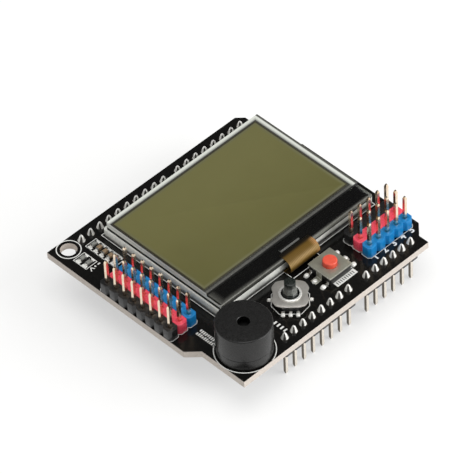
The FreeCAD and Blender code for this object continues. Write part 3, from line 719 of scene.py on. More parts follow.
@dataclass(frozen=True)
class SolderJoint(Finish):
    """Bright solder with one painted dark reflection down the joint's front."""

    flux: Colour = (0.03, 0.028, 0.024)
    narrow: float = 0.88
    full: float = 0.965

    def base(self, desk: NodeDesk) -> Socket:
        """Bright solder, with a painted dark reflection where the side looks towards the front left.

        Args:
            desk: Desk of the material's tree.

        Returns:
            The colour's socket.
        """
        geometry = desk.add("NewGeometry")
        across, along, up = desk.axes(geometry.outputs["True Normal"])
        level = desk.math("SQRT", desk.math("SUBTRACT", 1.0, desk.math("MULTIPLY", up, up)))
        turned = desk.math("MULTIPLY", desk.math("ADD", across, along), -math.sqrt(0.5))
        facing = desk.math("DIVIDE", turned, desk.math("MAXIMUM", level, 0.2))
        # Painted reflection: the side facing the front left is dark.
        return desk.blend(desk.spread(facing, self.narrow, self.full), super().base(desk), self.flux)


@dataclass(frozen=True)
class TinnedTail(Finish):
    """Pin with painted shade on its two sides across X, whose upper end was dipped in solder."""

    solder: Colour = (0.95, 0.94, 0.91)
    sheared: Colour = (0.17, 0.14, 0.105)

    def base(self, desk: NodeDesk) -> Socket:
        """Cream below the board with painted brown shade on two sides, solder above it.

        Args:
            desk: Desk of the material's tree.

        Returns:
            The colour's socket.
        """
        geometry = desk.add("NewGeometry")
        across = desk.axes(geometry.outputs["True Normal"])[0]
        # Painted shade: the two sides across X are brown.
        sheared = desk.math("GREATER_THAN", desk.math("ABSOLUTE", across), 0.5)
        up = desk.axes(desk.place())[2]
        below = desk.blend(sheared, super().base(desk), self.sheared)
        return desk.blend(desk.math("GREATER_THAN", up, BOARD_TOP), below, self.solder)


@dataclass(frozen=True)
class PortedMoulding(Finish):
    """Black moulding with painted shade down its round sound port."""

    port: Spot = (0.0, 0.0)
    port_radius: float = 1.3

    def base(self, desk: NodeDesk) -> Socket:
        """Painted shade: near black inside the port.

        Args:
            desk: Desk of the material's tree.

        Returns:
            The colour's socket.
        """
        across, along, _ = desk.axes(desk.place())
        off_across = desk.math("SUBTRACT", across, self.port[0])
        off_along = desk.math("SUBTRACT", along, self.port[1])
        reach = desk.math("ADD", desk.math("POWER", off_across, 2.0), desk.math("POWER", off_along, 2.0))
        inside = desk.math("LESS_THAN", reach, self.port_radius ** 2)
        # Painted shade inside the port.
        return desk.blend(inside, super().base(desk), (0.0005, 0.0005, 0.0005))

    def plain_numbers(self, shader: bpy.types.Node) -> None:
        """Weaker gloss than the open plastics have."""
        super().plain_numbers(shader)
        shader.inputs["Specular IOR Level"].default_value = 0.4


@dataclass(frozen=True)
class DriverChip(Finish):
    """Bare chip: black on top, paler where its sawn sides catch the light."""

    side: Colour = (0.12, 0.12, 0.113)
    front: float = 0.0
    strip: float = 0.3

    def base(self, desk: NodeDesk) -> Socket:
        """Black top, with painted highlights: grey sides and a grey strip along the front of the top.

        Args:
            desk: Desk of the material's tree.

        Returns:
            The colour's socket.
        """
        sides = desk.math("LESS_THAN", desk.math("ABSOLUTE", desk.upward()), 0.5)
        near = desk.math("LESS_THAN", desk.axes(desk.place())[1], self.front + self.strip)
        return desk.blend(desk.math("MAXIMUM", sides, near), super().base(desk), self.side)


@dataclass(frozen=True)
class Palette:
    """Every finish of the part."""

    board: Finish = MaskedBoard("gloss_black_mask", (0.0042, 0.0040, 0.0036), (0.0062, 0.0058, 0.0052),
                                roughness=0.17, swing=0.04, depth=0.03, grain=5.0)
    covered_copper: Finish = Finish("mask_over_copper", (0.011, 0.009, 0.007), (0.016, 0.0125, 0.0095),
                                    roughness=0.2, swing=0.04, depth=0.03)
    print_white: Finish = Finish("white_print", (0.86, 0.86, 0.83), (0.78, 0.78, 0.75), roughness=0.55,
                                 patches=3.0, grain=20.0, depth=0.12)
    print_gap: Finish = Finish("print_gap", (0.02, 0.02, 0.02), (0.03, 0.03, 0.03), roughness=0.4)
    black_strip: Finish = Finish("black_header_plastic", (0.014, 0.014, 0.0145), (0.021, 0.021, 0.021),
                                 roughness=0.34, depth=0.08, edge=(0.05, 0.05, 0.05))
    red_strip: Finish = Finish("red_header_plastic", (0.95, 0.085, 0.14), (0.88, 0.07, 0.12),
                               roughness=0.3, depth=0.06, edge=(0.92, 0.17, 0.22), coat=0.1)
    blue_strip: Finish = Finish("blue_header_plastic", (0.0, 0.215, 0.55), (0.0, 0.185, 0.48),
                                roughness=0.38, depth=0.06, edge=(0.02, 0.32, 0.72))
    gold: Finish = Finish("gold_flash", (0.93, 0.79, 0.63), (0.86, 0.68, 0.50), metallic=1.0,
                          roughness=0.2, swing=0.04, grain=6.0, depth=0.03, streaks=True)
    tail: Finish = TinnedTail("tinned_tail", (0.84, 0.78, 0.69), (0.78, 0.71, 0.62), metallic=0.35,
                              roughness=0.34, swing=0.03, grain=3.0, depth=0.01, streaks=True)
    tin: Finish = Finish("bright_tin", (0.84, 0.83, 0.80), (0.76, 0.75, 0.72), metallic=1.0,
                         roughness=0.26, swing=0.08, depth=0.12)
    joint: Finish = SolderJoint("bright_solder_joint", (0.97, 0.96, 0.92), (0.92, 0.91, 0.86), metallic=0.2,
                                roughness=0.2, swing=0.05, patches=1.6, grain=4.0, depth=0.03)
    solder: Finish = Finish("bright_solder", (0.97, 0.96, 0.92), (0.92, 0.91, 0.86), metallic=0.2,
                            roughness=0.2, swing=0.05, patches=1.6, grain=4.0, depth=0.05)
    # The milky frame's near-white edge colour is a painted highlight on its rims.
    milky: Finish = MilkyBody("milky_light_guide", (0.83, 0.84, 0.79), (0.76, 0.77, 0.72),
                              roughness=0.3, depth=0.04, patches=0.5, edge=(0.97, 0.97, 0.94),
                              edge_width=0.16)
    diffuser: Finish = Finish("pale_diffuser_film", (0.60, 0.61, 0.55), (0.52, 0.53, 0.47), roughness=0.5)
    clear: Finish = Finish("clear_guide_plastic", (0.30, 0.30, 0.27), (0.24, 0.24, 0.21), roughness=0.2,
                           coat=0.3)
    white: Finish = Finish("white_backing", (0.85, 0.85, 0.83), (0.78, 0.78, 0.76), roughness=0.6)
    glass: Finish = ClearGlass("plate_glass", (0.95, 0.97, 0.945), (0.94, 0.965, 0.94), roughness=0.03,
                               swing=0.01, depth=0.0, coat=1.0)
    lower_side: Finish = GroundSide("ground_lower_side", (0.045, 0.045, 0.038), (0.07, 0.07, 0.06),
                                    roughness=0.4, patches=1.4)
    upper_side: Finish = GroundSide("ground_upper_side", (0.012, 0.012, 0.011), (0.02, 0.02, 0.018),
                                    roughness=0.4, patches=1.4, lit=(0.016, 0.016, 0.015))
    bare_margin: Finish = Finish("bare_glass_margin", (0.26, 0.26, 0.235), (0.21, 0.21, 0.19), roughness=0.3)
    foam: Finish = Finish("black_foam", (0.006, 0.006, 0.006), (0.009, 0.009, 0.009), roughness=0.8)
    amber: Finish = AmberFilm("lined_amber_film", (0.135, 0.075, 0.010), (0.095, 0.050, 0.007),
                              roughness=0.5, swing=0.05, depth=0.05)
    buzzer: Finish = PortedMoulding("black_buzzer_moulding", (0.012, 0.0118, 0.0115), (0.016, 0.0157, 0.0153),
                            roughness=0.3, swing=0.05, grain=14.0, depth=0.1, edge=(0.035, 0.034, 0.034),
                            edge_width=0.14, specks=0.02, port=(-19.778, -20.72))
    switch_black: Finish = Finish("black_switch_moulding", (0.009, 0.009, 0.009), (0.014, 0.014, 0.014),
                                  roughness=0.36, depth=0.1, edge=(0.05, 0.05, 0.05))
    # The near-white edge colour is a painted highlight along the cover's edges.
    nickel: Finish = Finish("satin_nickel", (0.66, 0.635, 0.59), (0.60, 0.575, 0.53), metallic=0.75,
                            roughness=0.42, swing=0.05, grain=16.0, depth=0.12, edge=(0.97, 0.96, 0.92))
    ring: Finish = Finish("polished_ring", (0.93, 0.92, 0.88), (0.88, 0.87, 0.83), metallic=0.5,
                          roughness=0.22, swing=0.04, depth=0.03)
    # The near-white edge colour is a painted highlight along the plate's edges.
    plate: Finish = Finish("grey_stamped_plate", (0.39, 0.385, 0.31), (0.34, 0.335, 0.275), metallic=0.5,
                           roughness=0.34, swing=0.04, grain=16.0, depth=0.04, edge=(0.97, 0.96, 0.92),
                           edge_width=0.18)
    lever: Finish = Finish("dark_lever_plastic", (0.010, 0.013, 0.011), (0.016, 0.020, 0.017),
                           roughness=0.3, depth=0.06, edge=(0.10, 0.11, 0.10), edge_width=0.14)
    # The collar's pale grey and light edges are a painted sheen of light off its facets.
    collar: Finish = Finish("worn_lever_collar", (0.15, 0.155, 0.14), (0.09, 0.095, 0.085), roughness=0.3,
                            depth=0.05, patches=1.8, edge=(0.34, 0.35, 0.32), edge_width=0.12)
    cap: Finish = Finish("coral_red_cap", (0.82, 0.105, 0.058), (0.76, 0.085, 0.05), roughness=0.36,
                         depth=0.05, edge=(0.95, 0.17, 0.10), edge_width=0.14)
    grey_chip: Finish = Finish("grey_ceramic", (0.20, 0.205, 0.19), (0.28, 0.28, 0.26), roughness=0.45,
                               patches=2.5)
    tan_chip: Finish = Finish("tan_ceramic", (0.33, 0.23, 0.14), (0.25, 0.17, 0.10), roughness=0.4,
                              patches=2.5)
    iron: Finish = Finish("plain_iron", (0.42, 0.41, 0.40), (0.34, 0.33, 0.32), metallic=1.0, roughness=0.45)
    # Near-black iron: painted shade for the diaphragm seen down the sound port.
    dark_iron: Finish = Finish("darkened_iron", (0.02, 0.02, 0.02), (0.03, 0.029, 0.028), metallic=0.4,
                               roughness=0.6)
    copper: Finish = Finish("enamelled_wire", (0.62, 0.27, 0.14), (0.52, 0.21, 0.10), metallic=0.8,
                            roughness=0.3, streaks=True)


# Mesh tools


def rectangle(left: float, right: float, low: float, high: float) -> list[Spot]:
    """Corners of a rectangle, counter-clockwise."""
    return [(left, low), (right, low), (right, high), (left, high)]


def soften(outline: Sequence[Spot], rounds: int = 2, share: float = 0.25) -> list[Spot]:
    """Round an outline's corners by cutting them off again and again.

    Args:
        outline: Closed outline.
        rounds: How often the corners are cut.
        share: Share of each side that a cut takes.

    Returns:
        The rounded outline.
    """
    points = [Vector(spot) for spot in outline]
    for _ in range(rounds):
        cut = []
        for here, following in zip(points, points[1:] + points[:1]):
            cut += [here.lerp(following, share), here.lerp(following, 1 - share)]
        points = cut
    return [(point.x, point.y) for point in points]


def rounded(left: float, right: float, low: float, high: float, radius: float, steps: int = 4) -> list[Spot]:
    """Rectangle with round corners, counter-clockwise.

    Args:
        left: Lowest x.
        right: Highest x.
        low: Lowest y.
        high: Highest y.
        radius: Corner radius.
        steps: Sides in each corner.

    Returns:
        The outline.
    """
    corners = [(right - radius, high - radius), (left + radius, high - radius),
               (left + radius, low + radius), (right - radius, low + radius)]
    outline = []
    for quarter, (across, along) in enumerate(corners):
        for step in range(steps + 1):
            angle = (quarter + step / steps) * math.pi / 2
            outline.append((across + radius * math.cos(angle), along + radius * math.sin(angle)))
    return outline


def divide(outline: Sequence[Spot], count: int, longer_than: float = 0.0) -> list[Spot]:
    """Add points along an outline's sides.

    Args:
        outline: Closed outline.
        count: Parts that a side is divided into.
        longer_than: Length above which a side is divided.

    Returns:
        The outline with its new points.
    """
    points = []
    for first, second in zip(outline, list(outline[1:]) + list(outline[:1])):
        start, end = Vector(first), Vector(second)
        parts = count if (end - start).length > longer_than else 1
        points += [tuple(start.lerp(end, step / parts)) for step in range(parts)]
    return points


def circled(outline: Sequence[Spot], radius: float) -> list[Spot]:
    """Points of a circle that lie in the directions of an outline's points."""
    return [tuple(Vector(spot).normalized() * radius) for spot in outline]


def octagon(half: float) -> list[Spot]:
    """Regular eight-sided outline of this half width, from its front side on.

    Args:
        half: Half of its width.

    Returns:
        The outline.
    """
    cut = half * (math.sqrt(2) - 1)
    return [(-cut, -half), (cut, -half), (half, -cut), (half, cut), (cut, half), (-cut, half), (-half, cut),
            (-half, -cut)]


class Shape:
    """A mesh under construction, in millimetres of the part's frame."""

    def __init__(self, place: Matrix | None = None) -> None:
        """Start empty; place moves every part from its own frame into the part's frame."""
        self.whole = bmesh.new()
        self.place = place or Matrix.Identity(4)

    def take(self, part: bmesh.types.BMesh, bevel: float = 0.0, slot: int = 0,
             place: Matrix | None = None) -> None:
        """Finish one closed part and add it to the whole.

        Args:
            part: The part, which is freed.
            bevel: Width of the bevel on its sharp edges.
            slot: Material index.
            place: The part's own placement, before the shape's.
        """
        bmesh.ops.recalc_face_normals(part, faces=part.faces[:])
        if bevel:
            sharp = [edge for edge in part.edges if edge.is_manifold and edge.calc_face_angle(0.0) > SHARP]
            bmesh.ops.bevel(part, geom=sharp, offset=bevel, segments=2, profile=0.5,
                            affect="EDGES", clamp_overlap=True)
        for face in part.faces:
            face.material_index = slot
            face.smooth = True
        bmesh.ops.transform(part, matrix=self.place @ (place or Matrix.Identity(4)), verts=part.verts[:])
        holder = bpy.data.meshes.new("part")
        part.to_mesh(holder)
        part.free()
        self.whole.from_mesh(holder)
        bpy.data.meshes.remove(holder)

    def prism(self, outline: Sequence[Spot], low: float, high: float, bevel: float = 0.0,
              slot: int = 0, taper: float = 1.0) -> None:
        """Upright solid over an outline.

        Args:
            outline: Closed outline.
            low: Height of its foot.
            high: Height of its top.
            bevel: Width of the bevel on its edges.
            slot: Material index.
            taper: Size of the top against the foot.
        """
        part = bmesh.new()
        middle = Vector((sum(spot[0] for spot in outline), sum(spot[1] for spot in outline))) / len(outline)
        foot = [part.verts.new((x, y, low)) for x, y in outline]
        top = [part.verts.new((*(middle + (Vector(spot) - middle) * taper), high)) for spot in outline]
        part.faces.new(foot[::-1])
        part.faces.new(top)
        for index in range(len(outline)):
            after = (index + 1) % len(outline)
            part.faces.new((foot[index], foot[after], top[after], top[index]))
        self.take(part, bevel, slot)

    def box(self, left: float, right: float, front: float, back: float, low: float, high: float,
            bevel: float = 0.0, slot: int = 0) -> None:
        """Block between six limits."""
        self.prism(rectangle(left, right, front, back), low, high, bevel, slot)

    def tube(self, outer: Sequence[Spot], inner: Sequence[Spot], low: float, high: float,
             bevel: float = 0.0, floor: float | None = None) -> None:
        """Upright wall between two outlines with the same number of corners.

        Args:
            outer: Outer outline.
            inner: Inner outline.
            low: Height of the foot.
            high: Height of the top.
            bevel: Width of the bevel on its edges.
            floor: Height of a floor inside, or None for an open tube.
        """
        part = bmesh.new()
        sunk = low if floor is None else floor
        loops = [[part.verts.new((x, y, z)) for x, y in outline]
                 for outline, z in ((outer, low), (outer, high), (inner, high), (inner, sunk))]
        count = len(outer)
        pairs = [(0, 1), (1, 2), (2, 3)] + ([(3, 0)] if floor is None else [])
        for index in range(count):
            after = (index + 1) % count
            for first, second in pairs:
                part.faces.new((loops[first][index], loops[first][after],
                                loops[second][after], loops[second][index]))
        if floor is not None:
            part.faces.new(loops[3])
            part.faces.new(loops[0][::-1])
        self.take(part, bevel)

    def lathe(self, profile: Sequence[Spot], centre: Spot = (0.0, 0.0), segments: int = 48,
              slot: int = 0, place: Matrix | None = None) -> None:
        """Turn a profile of radius and height about an upright axis.

        Args:
            profile: Radius and height from one end to the other; radius 0 closes an end.
            centre: Place of the axis.
            segments: Sides of the turned form.
            slot: Material index.
            place: Own placement.
        """
        part = bmesh.new()
        rings = []
        for radius, height in profile:
            if radius < 1e-6:
                rings.append([part.verts.new((*centre, height))])
                continue
            turns = [2 * math.pi * step / segments for step in range(segments)]
            rings.append([part.verts.new((centre[0] + radius * math.cos(turn),
                                          centre[1] + radius * math.sin(turn), height)) for turn in turns])
        closed = len(rings[0]) > 1 and len(rings[-1]) > 1
        for first, second in zip(rings, rings[1:] + (rings[:1] if closed else [])):
            if len(first) == 1 and len(second) == 1:
                continue
            for step in range(segments):
                after = (step + 1) % segments
                corners = [first[step % len(first)], first[after % len(first)],
                           second[after % len(second)], second[step % len(second)]]
                part.faces.new(list(dict.fromkeys(corners)))
        self.take(part, slot=slot, place=place)

    def line(self, points: Sequence[Spot], width: float, low: float, high: float,
             closed: bool = False) -> None:
        """Flat line of even width through points, with mitred corners.

        Args:
            points: Corners of the middle of the line.
            width: Width of the line.
            low: Height of its foot.
            high: Height of its face.
            closed: Join the last point to the first.
        """
        part = bmesh.new()
        count = len(points)
        spots = [Vector(point) for point in points]
        rows = []
        for index, spot in enumerate(spots):
            before = spots[index - 1] if closed or index else None
            after = spots[(index + 1) % count] if closed or index < count - 1 else None
            into = (spot - before).normalized() if before is not None else (after - spot).normalized()
            out = (after - spot).normalized() if after is not None else into
            normal = Vector((-into.y - out.y, into.x + out.x)).normalized()
            reach = width / 2 / max(0.4, normal.dot(Vector((-into.y, into.x))))
            rows.append([part.verts.new((*(spot + normal * reach * side), height))
                         for side, height in ((1, low), (1, high), (-1, high), (-1, low))])
        for first, second in zip(rows, rows[1:] + (rows[:1] if closed else [])):
            for corner in range(4):
                following = (corner + 1) % 4
                part.faces.new((first[corner], second[corner], second[following], first[following]))
        if not closed:
            part.faces.new(rows[0])
            part.faces.new(rows[-1][::-1])
        self.take(part)

    def trim(self, low: Vector, high: Vector) -> None:
        """Cut away what lies past the sides of a rectangle, and close the cuts.

        Args:
            low: The rectangle's lowest corner.
            high: The rectangle's highest corner.
        """
        sides = ((low, (-1, 0, 0)), (low, (0, -1, 0)), (high, (1, 0, 0)), (high, (0, 1, 0)))
        for corner, outward in sides:
            everything = self.whole.verts[:] + self.whole.edges[:] + self.whole.faces[:]
            cut = bmesh.ops.bisect_plane(self.whole, geom=everything, dist=1e-5, plane_co=corner,
                                         plane_no=outward, clear_outer=True)
            open_edges = [item for item in cut["geom_cut"] if isinstance(item, bmesh.types.BMEdge)]
            if open_edges:
                bmesh.ops.holes_fill(self.whole, edges=open_edges, sides=0)

    def finish(self, name: str, finishes: Sequence[Finish], body: Body, slot: str = "",
               stands_for: Sequence[str] = (), smooth: float = 32.0) -> bpy.types.Object:
        """Turn the whole into a piece of the scene.

        Args:
            name: The piece's name.
            finishes: Its finishes, in the order of their slots.
            body: The body that it rides on.
            slot: The record's material slot; not used.
            stands_for: CAD nodes that it replaces.
            smooth: Angle in degrees above which an edge stays sharp.

        Returns:
            The new object.
        """
        bmesh.ops.remove_doubles(self.whole, verts=self.whole.verts[:], dist=1e-5)
        bmesh.ops.scale(self.whole, vec=(MM, MM, MM), verts=self.whole.verts[:])
        mesh = bpy.data.meshes.new(name)
        self.whole.to_mesh(mesh)
        self.whole.free()
        for one in finishes:
            mesh.materials.append(one.build())
        mesh.set_sharp_from_angle(angle=math.radians(smooth))
        piece = bpy.data.objects.new(name, mesh)
        bpy.context.scene.collection.objects.link(piece)
        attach(piece, body.value)
        if stands_for:
            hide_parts(*stands_for)
        LOG.info("piece %s: %d faces", name, len(mesh.polygons))
        return piece


def limits(node: str) -> tuple[Vector, Vector]:
    """Lowest and highest corner of a CAD node, in millimetres."""
    low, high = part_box(node)
    return low / MM, high / MM


def dress(node: str, finish: Finish) -> None:
    """Give a CAD node that stays a better finish.

    Args:
        node: The CAD node's name.
        finish: The finish to give it.
    """
    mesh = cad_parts[node].data
    mesh.materials.clear()
    mesh.materials.append(finish.build())
    LOG.info("finish %s on %s", finish.name, node)


def turned_at(spot: Spot, degrees: float = 0.0, height: float = 0.0) -> Matrix:
    """Placement at a spot, turned about the upright axis."""
    return Matrix.Translation((*spot, height)) @ Matrix.Rotation(math.radians(degrees), 4, "Z")


# Sub-assemblies


@dataclass
class PrintedBoard:
    """The circuit board with its covered tracks and its white print."""

    palette: Palette
    line: float = 0.17
    proud: float = 0.025
    track: float = 0.28
    ring_outer: float = 1.02
    ring_inner: float = 0.6
    hole: Spot = (-24.892, 24.13)
    buzzer: Spot = (-19.778, -20.72)
    display: tuple[float, float, float, float] = (-17.63, 26.17, -11.57, 22.23)
    flex: tuple[float, float, float] = (0.27, 8.47, -14.17)
    number_spots: tuple[float, ...] = (15.77, 18.37, 20.97, 23.47, 25.97)
    number_row: float = -21.9

    def build(self) -> None:
        """Dress the board and print it."""
        dress("circuit_board", self.palette.board)
        self._tracks()
        self._print()

    def _level(self) -> tuple[float, float]:
        """Foot and face of the print."""
        return BOARD_TOP - 0.01, BOARD_TOP + self.proud

    def _tracks(self) -> None:
        """Raised tracks and rings of copper under the mask."""
        shape = Shape()
        low, high = BOARD_TOP - 0.01, BOARD_TOP + 0.018
        for row in STACKING_ROWS + SIGNAL_ROWS:
            for across, along in row.spots():
                ring = [(self.ring_outer, low), (self.ring_outer, high), (self.ring_inner, high),
                        (self.ring_inner, low)]
                shape.lathe(ring, (across, along), 24)
        for index in range(13):
            across = -12.192 + index * PITCH + (2.54 if index > 7 else 0.0)
            lean = 1.1 if index % 2 else -0.9
            shape.line([(across, -23.1), (across, -21.9 - 0.3 * (index % 3)), (across + lean, -20.8),
                        (across + lean, -19.6)], self.track, low, high)
        for index in range(17):
            across = -21.336 + index * PITCH + (1.524 if index > 9 else 0.0)
            shape.line([(across, 23.1), (across, 22.7), (across + 0.5, 22.2), (across + 0.5, 21.6)],
                       self.track, low, high)
        shape.finish("board_tracks", [self.palette.covered_copper], Body.BOARD, "board_black")

    def _print(self) -> None:
        """White outlines, rings, fields and plain numbers."""
        shape = Shape()
        low, high = self._level()
        left, right, front, back = self.display
        flex_left, flex_right, flex_front = self.flex
        shape.line([(flex_left, front), (left, front), (left, back), (right, back), (right, front),
                    (flex_right, front), (flex_right, flex_front), (flex_left, flex_front)],
                   self.line, low, high, closed=True)
        for centre, radius in ((self.hole, 2.5), (self.buzzer, 6.17)):
            ring = [(radius + 0.1, low), (radius + 0.1, high), (radius - 0.1, high), (radius - 0.1, low)]
            shape.lathe(ring, centre, 96)
        shape.line([(14.57, -13.97), (14.57, -18.27)], self.line, low, high)
        for row in SIGNAL_ROWS:
            shape.line(row.outline(0.1), 0.1, low, high, closed=True)
        self._chip_print(shape, low, high)
        self._switch_print(shape, low, high)
        self._numbers(shape, low, high)
        board_low, board_high = limits("circuit_board")
        margin = Vector((0.03, 0.03, 0.0))
        shape.trim(board_low + margin, board_high - margin)
        shape.finish("board_print", [self.palette.print_white, self.palette.print_gap], Body.BOARD)

    def _chip_print(self, shape: Shape, low: float, high: float) -> None:
        """Outlines and fields round the chip parts.

        Args:
            shape: The print's mesh.
            low: Height of the print's foot.
            high: Height of the print's face.
        """
        for left, right, front, back in ((-21.95, -19.05, 13.95, 22.35), (-26.28, -23.3, 17.6, 21.25)):
            shape.line(rectangle(left, right, front, back), 0.14, low, high, closed=True)
        for along in (14.88, 16.51, 18.14, 19.77, 21.4):
            shape.box(-22.0, -21.35, along - 0.55, along + 0.55, low, high)
            shape.box(-19.66, -19.05, along - 0.5, along + 0.5, low, high)
        for along in (18.5, 20.3):
            shape.box(-26.25, -25.55, along - 0.6, along + 0.6, low, high)
            shape.box(-23.85, -23.35, along - 0.45, along + 0.45, low, high)
        shape.box(-23.75, -23.1, 16.75, 17.05, low, high)
        shape.lathe([(0.0, low), (0.2, low), (0.2, high), (0.0, high)], (-24.4, 16.9), 16)
        shape.line([(-25.9, 16.4), (-25.35, 17.2), (-24.9, 16.5)], 0.22, low, high)

    def _switch_print(self, shape: Shape, low: float, high: float) -> None:
        """Outline of the lever switch and the bare field beside the reset button.

        Args:
            shape: The print's mesh.
            low: Height of the print's foot.
            high: Height of the print's face.
        """
        corner = [(-3.78, 1.6), (-3.78, -1.6), (-2.2, -3.78), (2.2, -3.78), (3.78, -1.6), (3.78, 1.6),
                  (2.2, 3.78), (-2.2, 3.78)]
        turn = turned_at((-4.278, -17.85), -45.0)
        moved = [turn @ Vector((*spot, 0.0)) for spot in corner]
        shape.line([(spot.x, spot.y) for spot in moved], 0.15, low, high, closed=True)
        shape.box(4.72, 10.37, -22.17, -20.74, low, high)
        for index in range(9):
            across = 5.2 + index * 0.55
            shape.box(across, across + 0.2, -21.85, -21.1, low, high + 0.01, slot=1)
        for index in range(10):
            along = -15.7 + index * 0.52
            shape.box(-23.5, -22.75 - 0.15 * (index % 3 == 0), along, along + 0.3, low, high)
            shape.box(-22.55 + 0.15 * (index % 4 == 1), -21.8, along, along + 0.3, low, high)
        for index in range(4):
            shape.box(-11.15, -10.2, -23.0 + index * 0.95, -22.6 + index * 0.95, low, high)

    def _numbers(self, shape: Shape, low: float, high: float) -> None:
        """Plain numbers along the second signal header.

        Args:
            shape: The print's mesh.
            low: Height of the print's foot.
            high: Height of the print's face.
        """
        for index, across in enumerate(self.number_spots, start=1):
            curve = bpy.data.curves.new("number", "FONT")
            curve.body = str(index)
            curve.size = 2.1
            curve.align_x = "CENTER"
            curve.align_y = "CENTER"
            curve.offset = 0.06
            curve.extrude = (high - low) / 2
            holder = bpy.data.objects.new("number", curve)
            bpy.context.scene.collection.objects.link(holder)
            bpy.context.view_layer.update()
            graph = bpy.context.evaluated_depsgraph_get()
            mesh = bpy.data.meshes.new_from_object(holder.evaluated_get(graph))
            part = bmesh.new()
            part.from_mesh(mesh)
            shape.take(part, place=Matrix.Translation((across, self.number_row, (low + high) / 2)))
            bpy.data.objects.remove(holder)
            bpy.data.curves.remove(curve)
            bpy.data.meshes.remove(mesh)


@dataclass
class PinRow:
    """One moulded strip with its pins, found from the strip's CAD node."""

    name: str
    finish: str
    slot: str
    notch: float = 0.55
    recess: float = 0.56
    recess_depth: float = 0.14

    def along(self) -> Along:
        """Direction of the row."""
        low, high = limits("strip_" + self.name)
        return Along.X if high.x - low.x > high.y - low.y else Along.Y

    def spots(self) -> list[Spot]:
        """Place of every pin.

        Returns:
            One spot for each pin.
        """
        low, high = limits("strip_" + self.name)
        axis = self.along().value
        count = round((high[axis] - low[axis]) / PITCH)
        other = (low[1 - axis] + high[1 - axis]) / 2
        places = [low[axis] + PITCH * (index + 0.5) for index in range(count)]
        return [(place, other) if axis == 0 else (other, place) for place in places]

    def _cell(self, spot: Spot, grow: float = 0.0) -> list[Spot]:
        """Eight corners of one cell, starting on the side towards the row's end.

        Args:
            spot: Place of the cell's pin.
            grow: How far the outline stands off the cell.

        Returns:
            The cell's corners.
        """
        long_half, wide_half = PITCH / 2 + grow, 1.25 + grow
        corners = [(long_half, -wide_half + self.notch), (long_half, wide_half - self.notch),
                   (long_half - self.notch, wide_half), (-long_half + self.notch, wide_half),
                   (-long_half, wide_half - self.notch), (-long_half, -wide_half + self.notch),
                   (-long_half + self.notch, -wide_half), (long_half - self.notch, -wide_half)]
        if self.along() is Along.Y:
            corners = [(-across, along) for along, across in corners]
        return [(spot[0] + across, spot[1] + along) for across, along in corners]

    def outline(self, gap: float) -> list[Spot]:
        """Printed outline round the whole row.

        Args:
            gap: How far the outline stands off the row.

        Returns:
            The outline's corners.
        """
        spots = self.spots()
        first, last = self._cell(spots[0], gap), self._cell(spots[-1], gap)
        upper = [point for spot in spots[::-1] for point in self._cell(spot, gap)[2:4]]
        lower = [point for spot in spots for point in self._cell(spot, gap)[6:8]]
        return last[0:2] + upper + first[4:6] + lower

    def strip(self, palette: Palette) -> None:
        """Build the strip: joined eight-sided cells, each with a round recess about its pin.

        Args:
            palette: Every finish of the part.
        """
        low, high = limits("strip_" + self.name)
        spots = self.spots()
        part = bmesh.new()
        for number, spot in enumerate(spots):
            cell = self._cell(spot)
            angles = [math.atan2(y - spot[1], x - spot[0]) for x, y in cell]
            well = [(spot[0] + self.recess * math.cos(turn), spot[1] + self.recess * math.sin(turn))
                    for turn in angles]
            loops = [[part.verts.new((x, y, z)) for x, y in outline] for outline, z in
                     ((cell, low.z), (cell, high.z), (well, high.z), (well, high.z - self.recess_depth))]
            part.faces.new(loops[0][::-1])
            part.faces.new(loops[3])
            for index in range(8):
                after = (index + 1) % 8
                shared = (index == 0 and number < len(spots) - 1) or (index == 4 and number > 0)
                for first, second in ((0, 1), (1, 2), (2, 3)):
                    if shared and first == 0:
                        continue
                    part.faces.new((loops[first][index], loops[first][after],
                                    loops[second][after], loops[second][index]))
        bmesh.ops.remove_doubles(part, verts=part.verts[:], dist=1e-4)
        shape = Shape()
        shape.take(part, 0.06)
        shape.finish("header_" + self.name, [getattr(palette, self.finish)], Body.BOARD, self.slot,
                     ["strip_" + self.name])


STACKING_ROWS = [PinRow(name, "black_strip", "plastic_black")
                 for name in ("digital_a", "digital_b", "power", "analog")]
SIGNAL_ROWS = [PinRow(f"{place}_{colour}", f"{colour}_strip", f"plastic_{colour}")
               for place in ("digital", "analog") for colour in ("black", "red", "blue")]


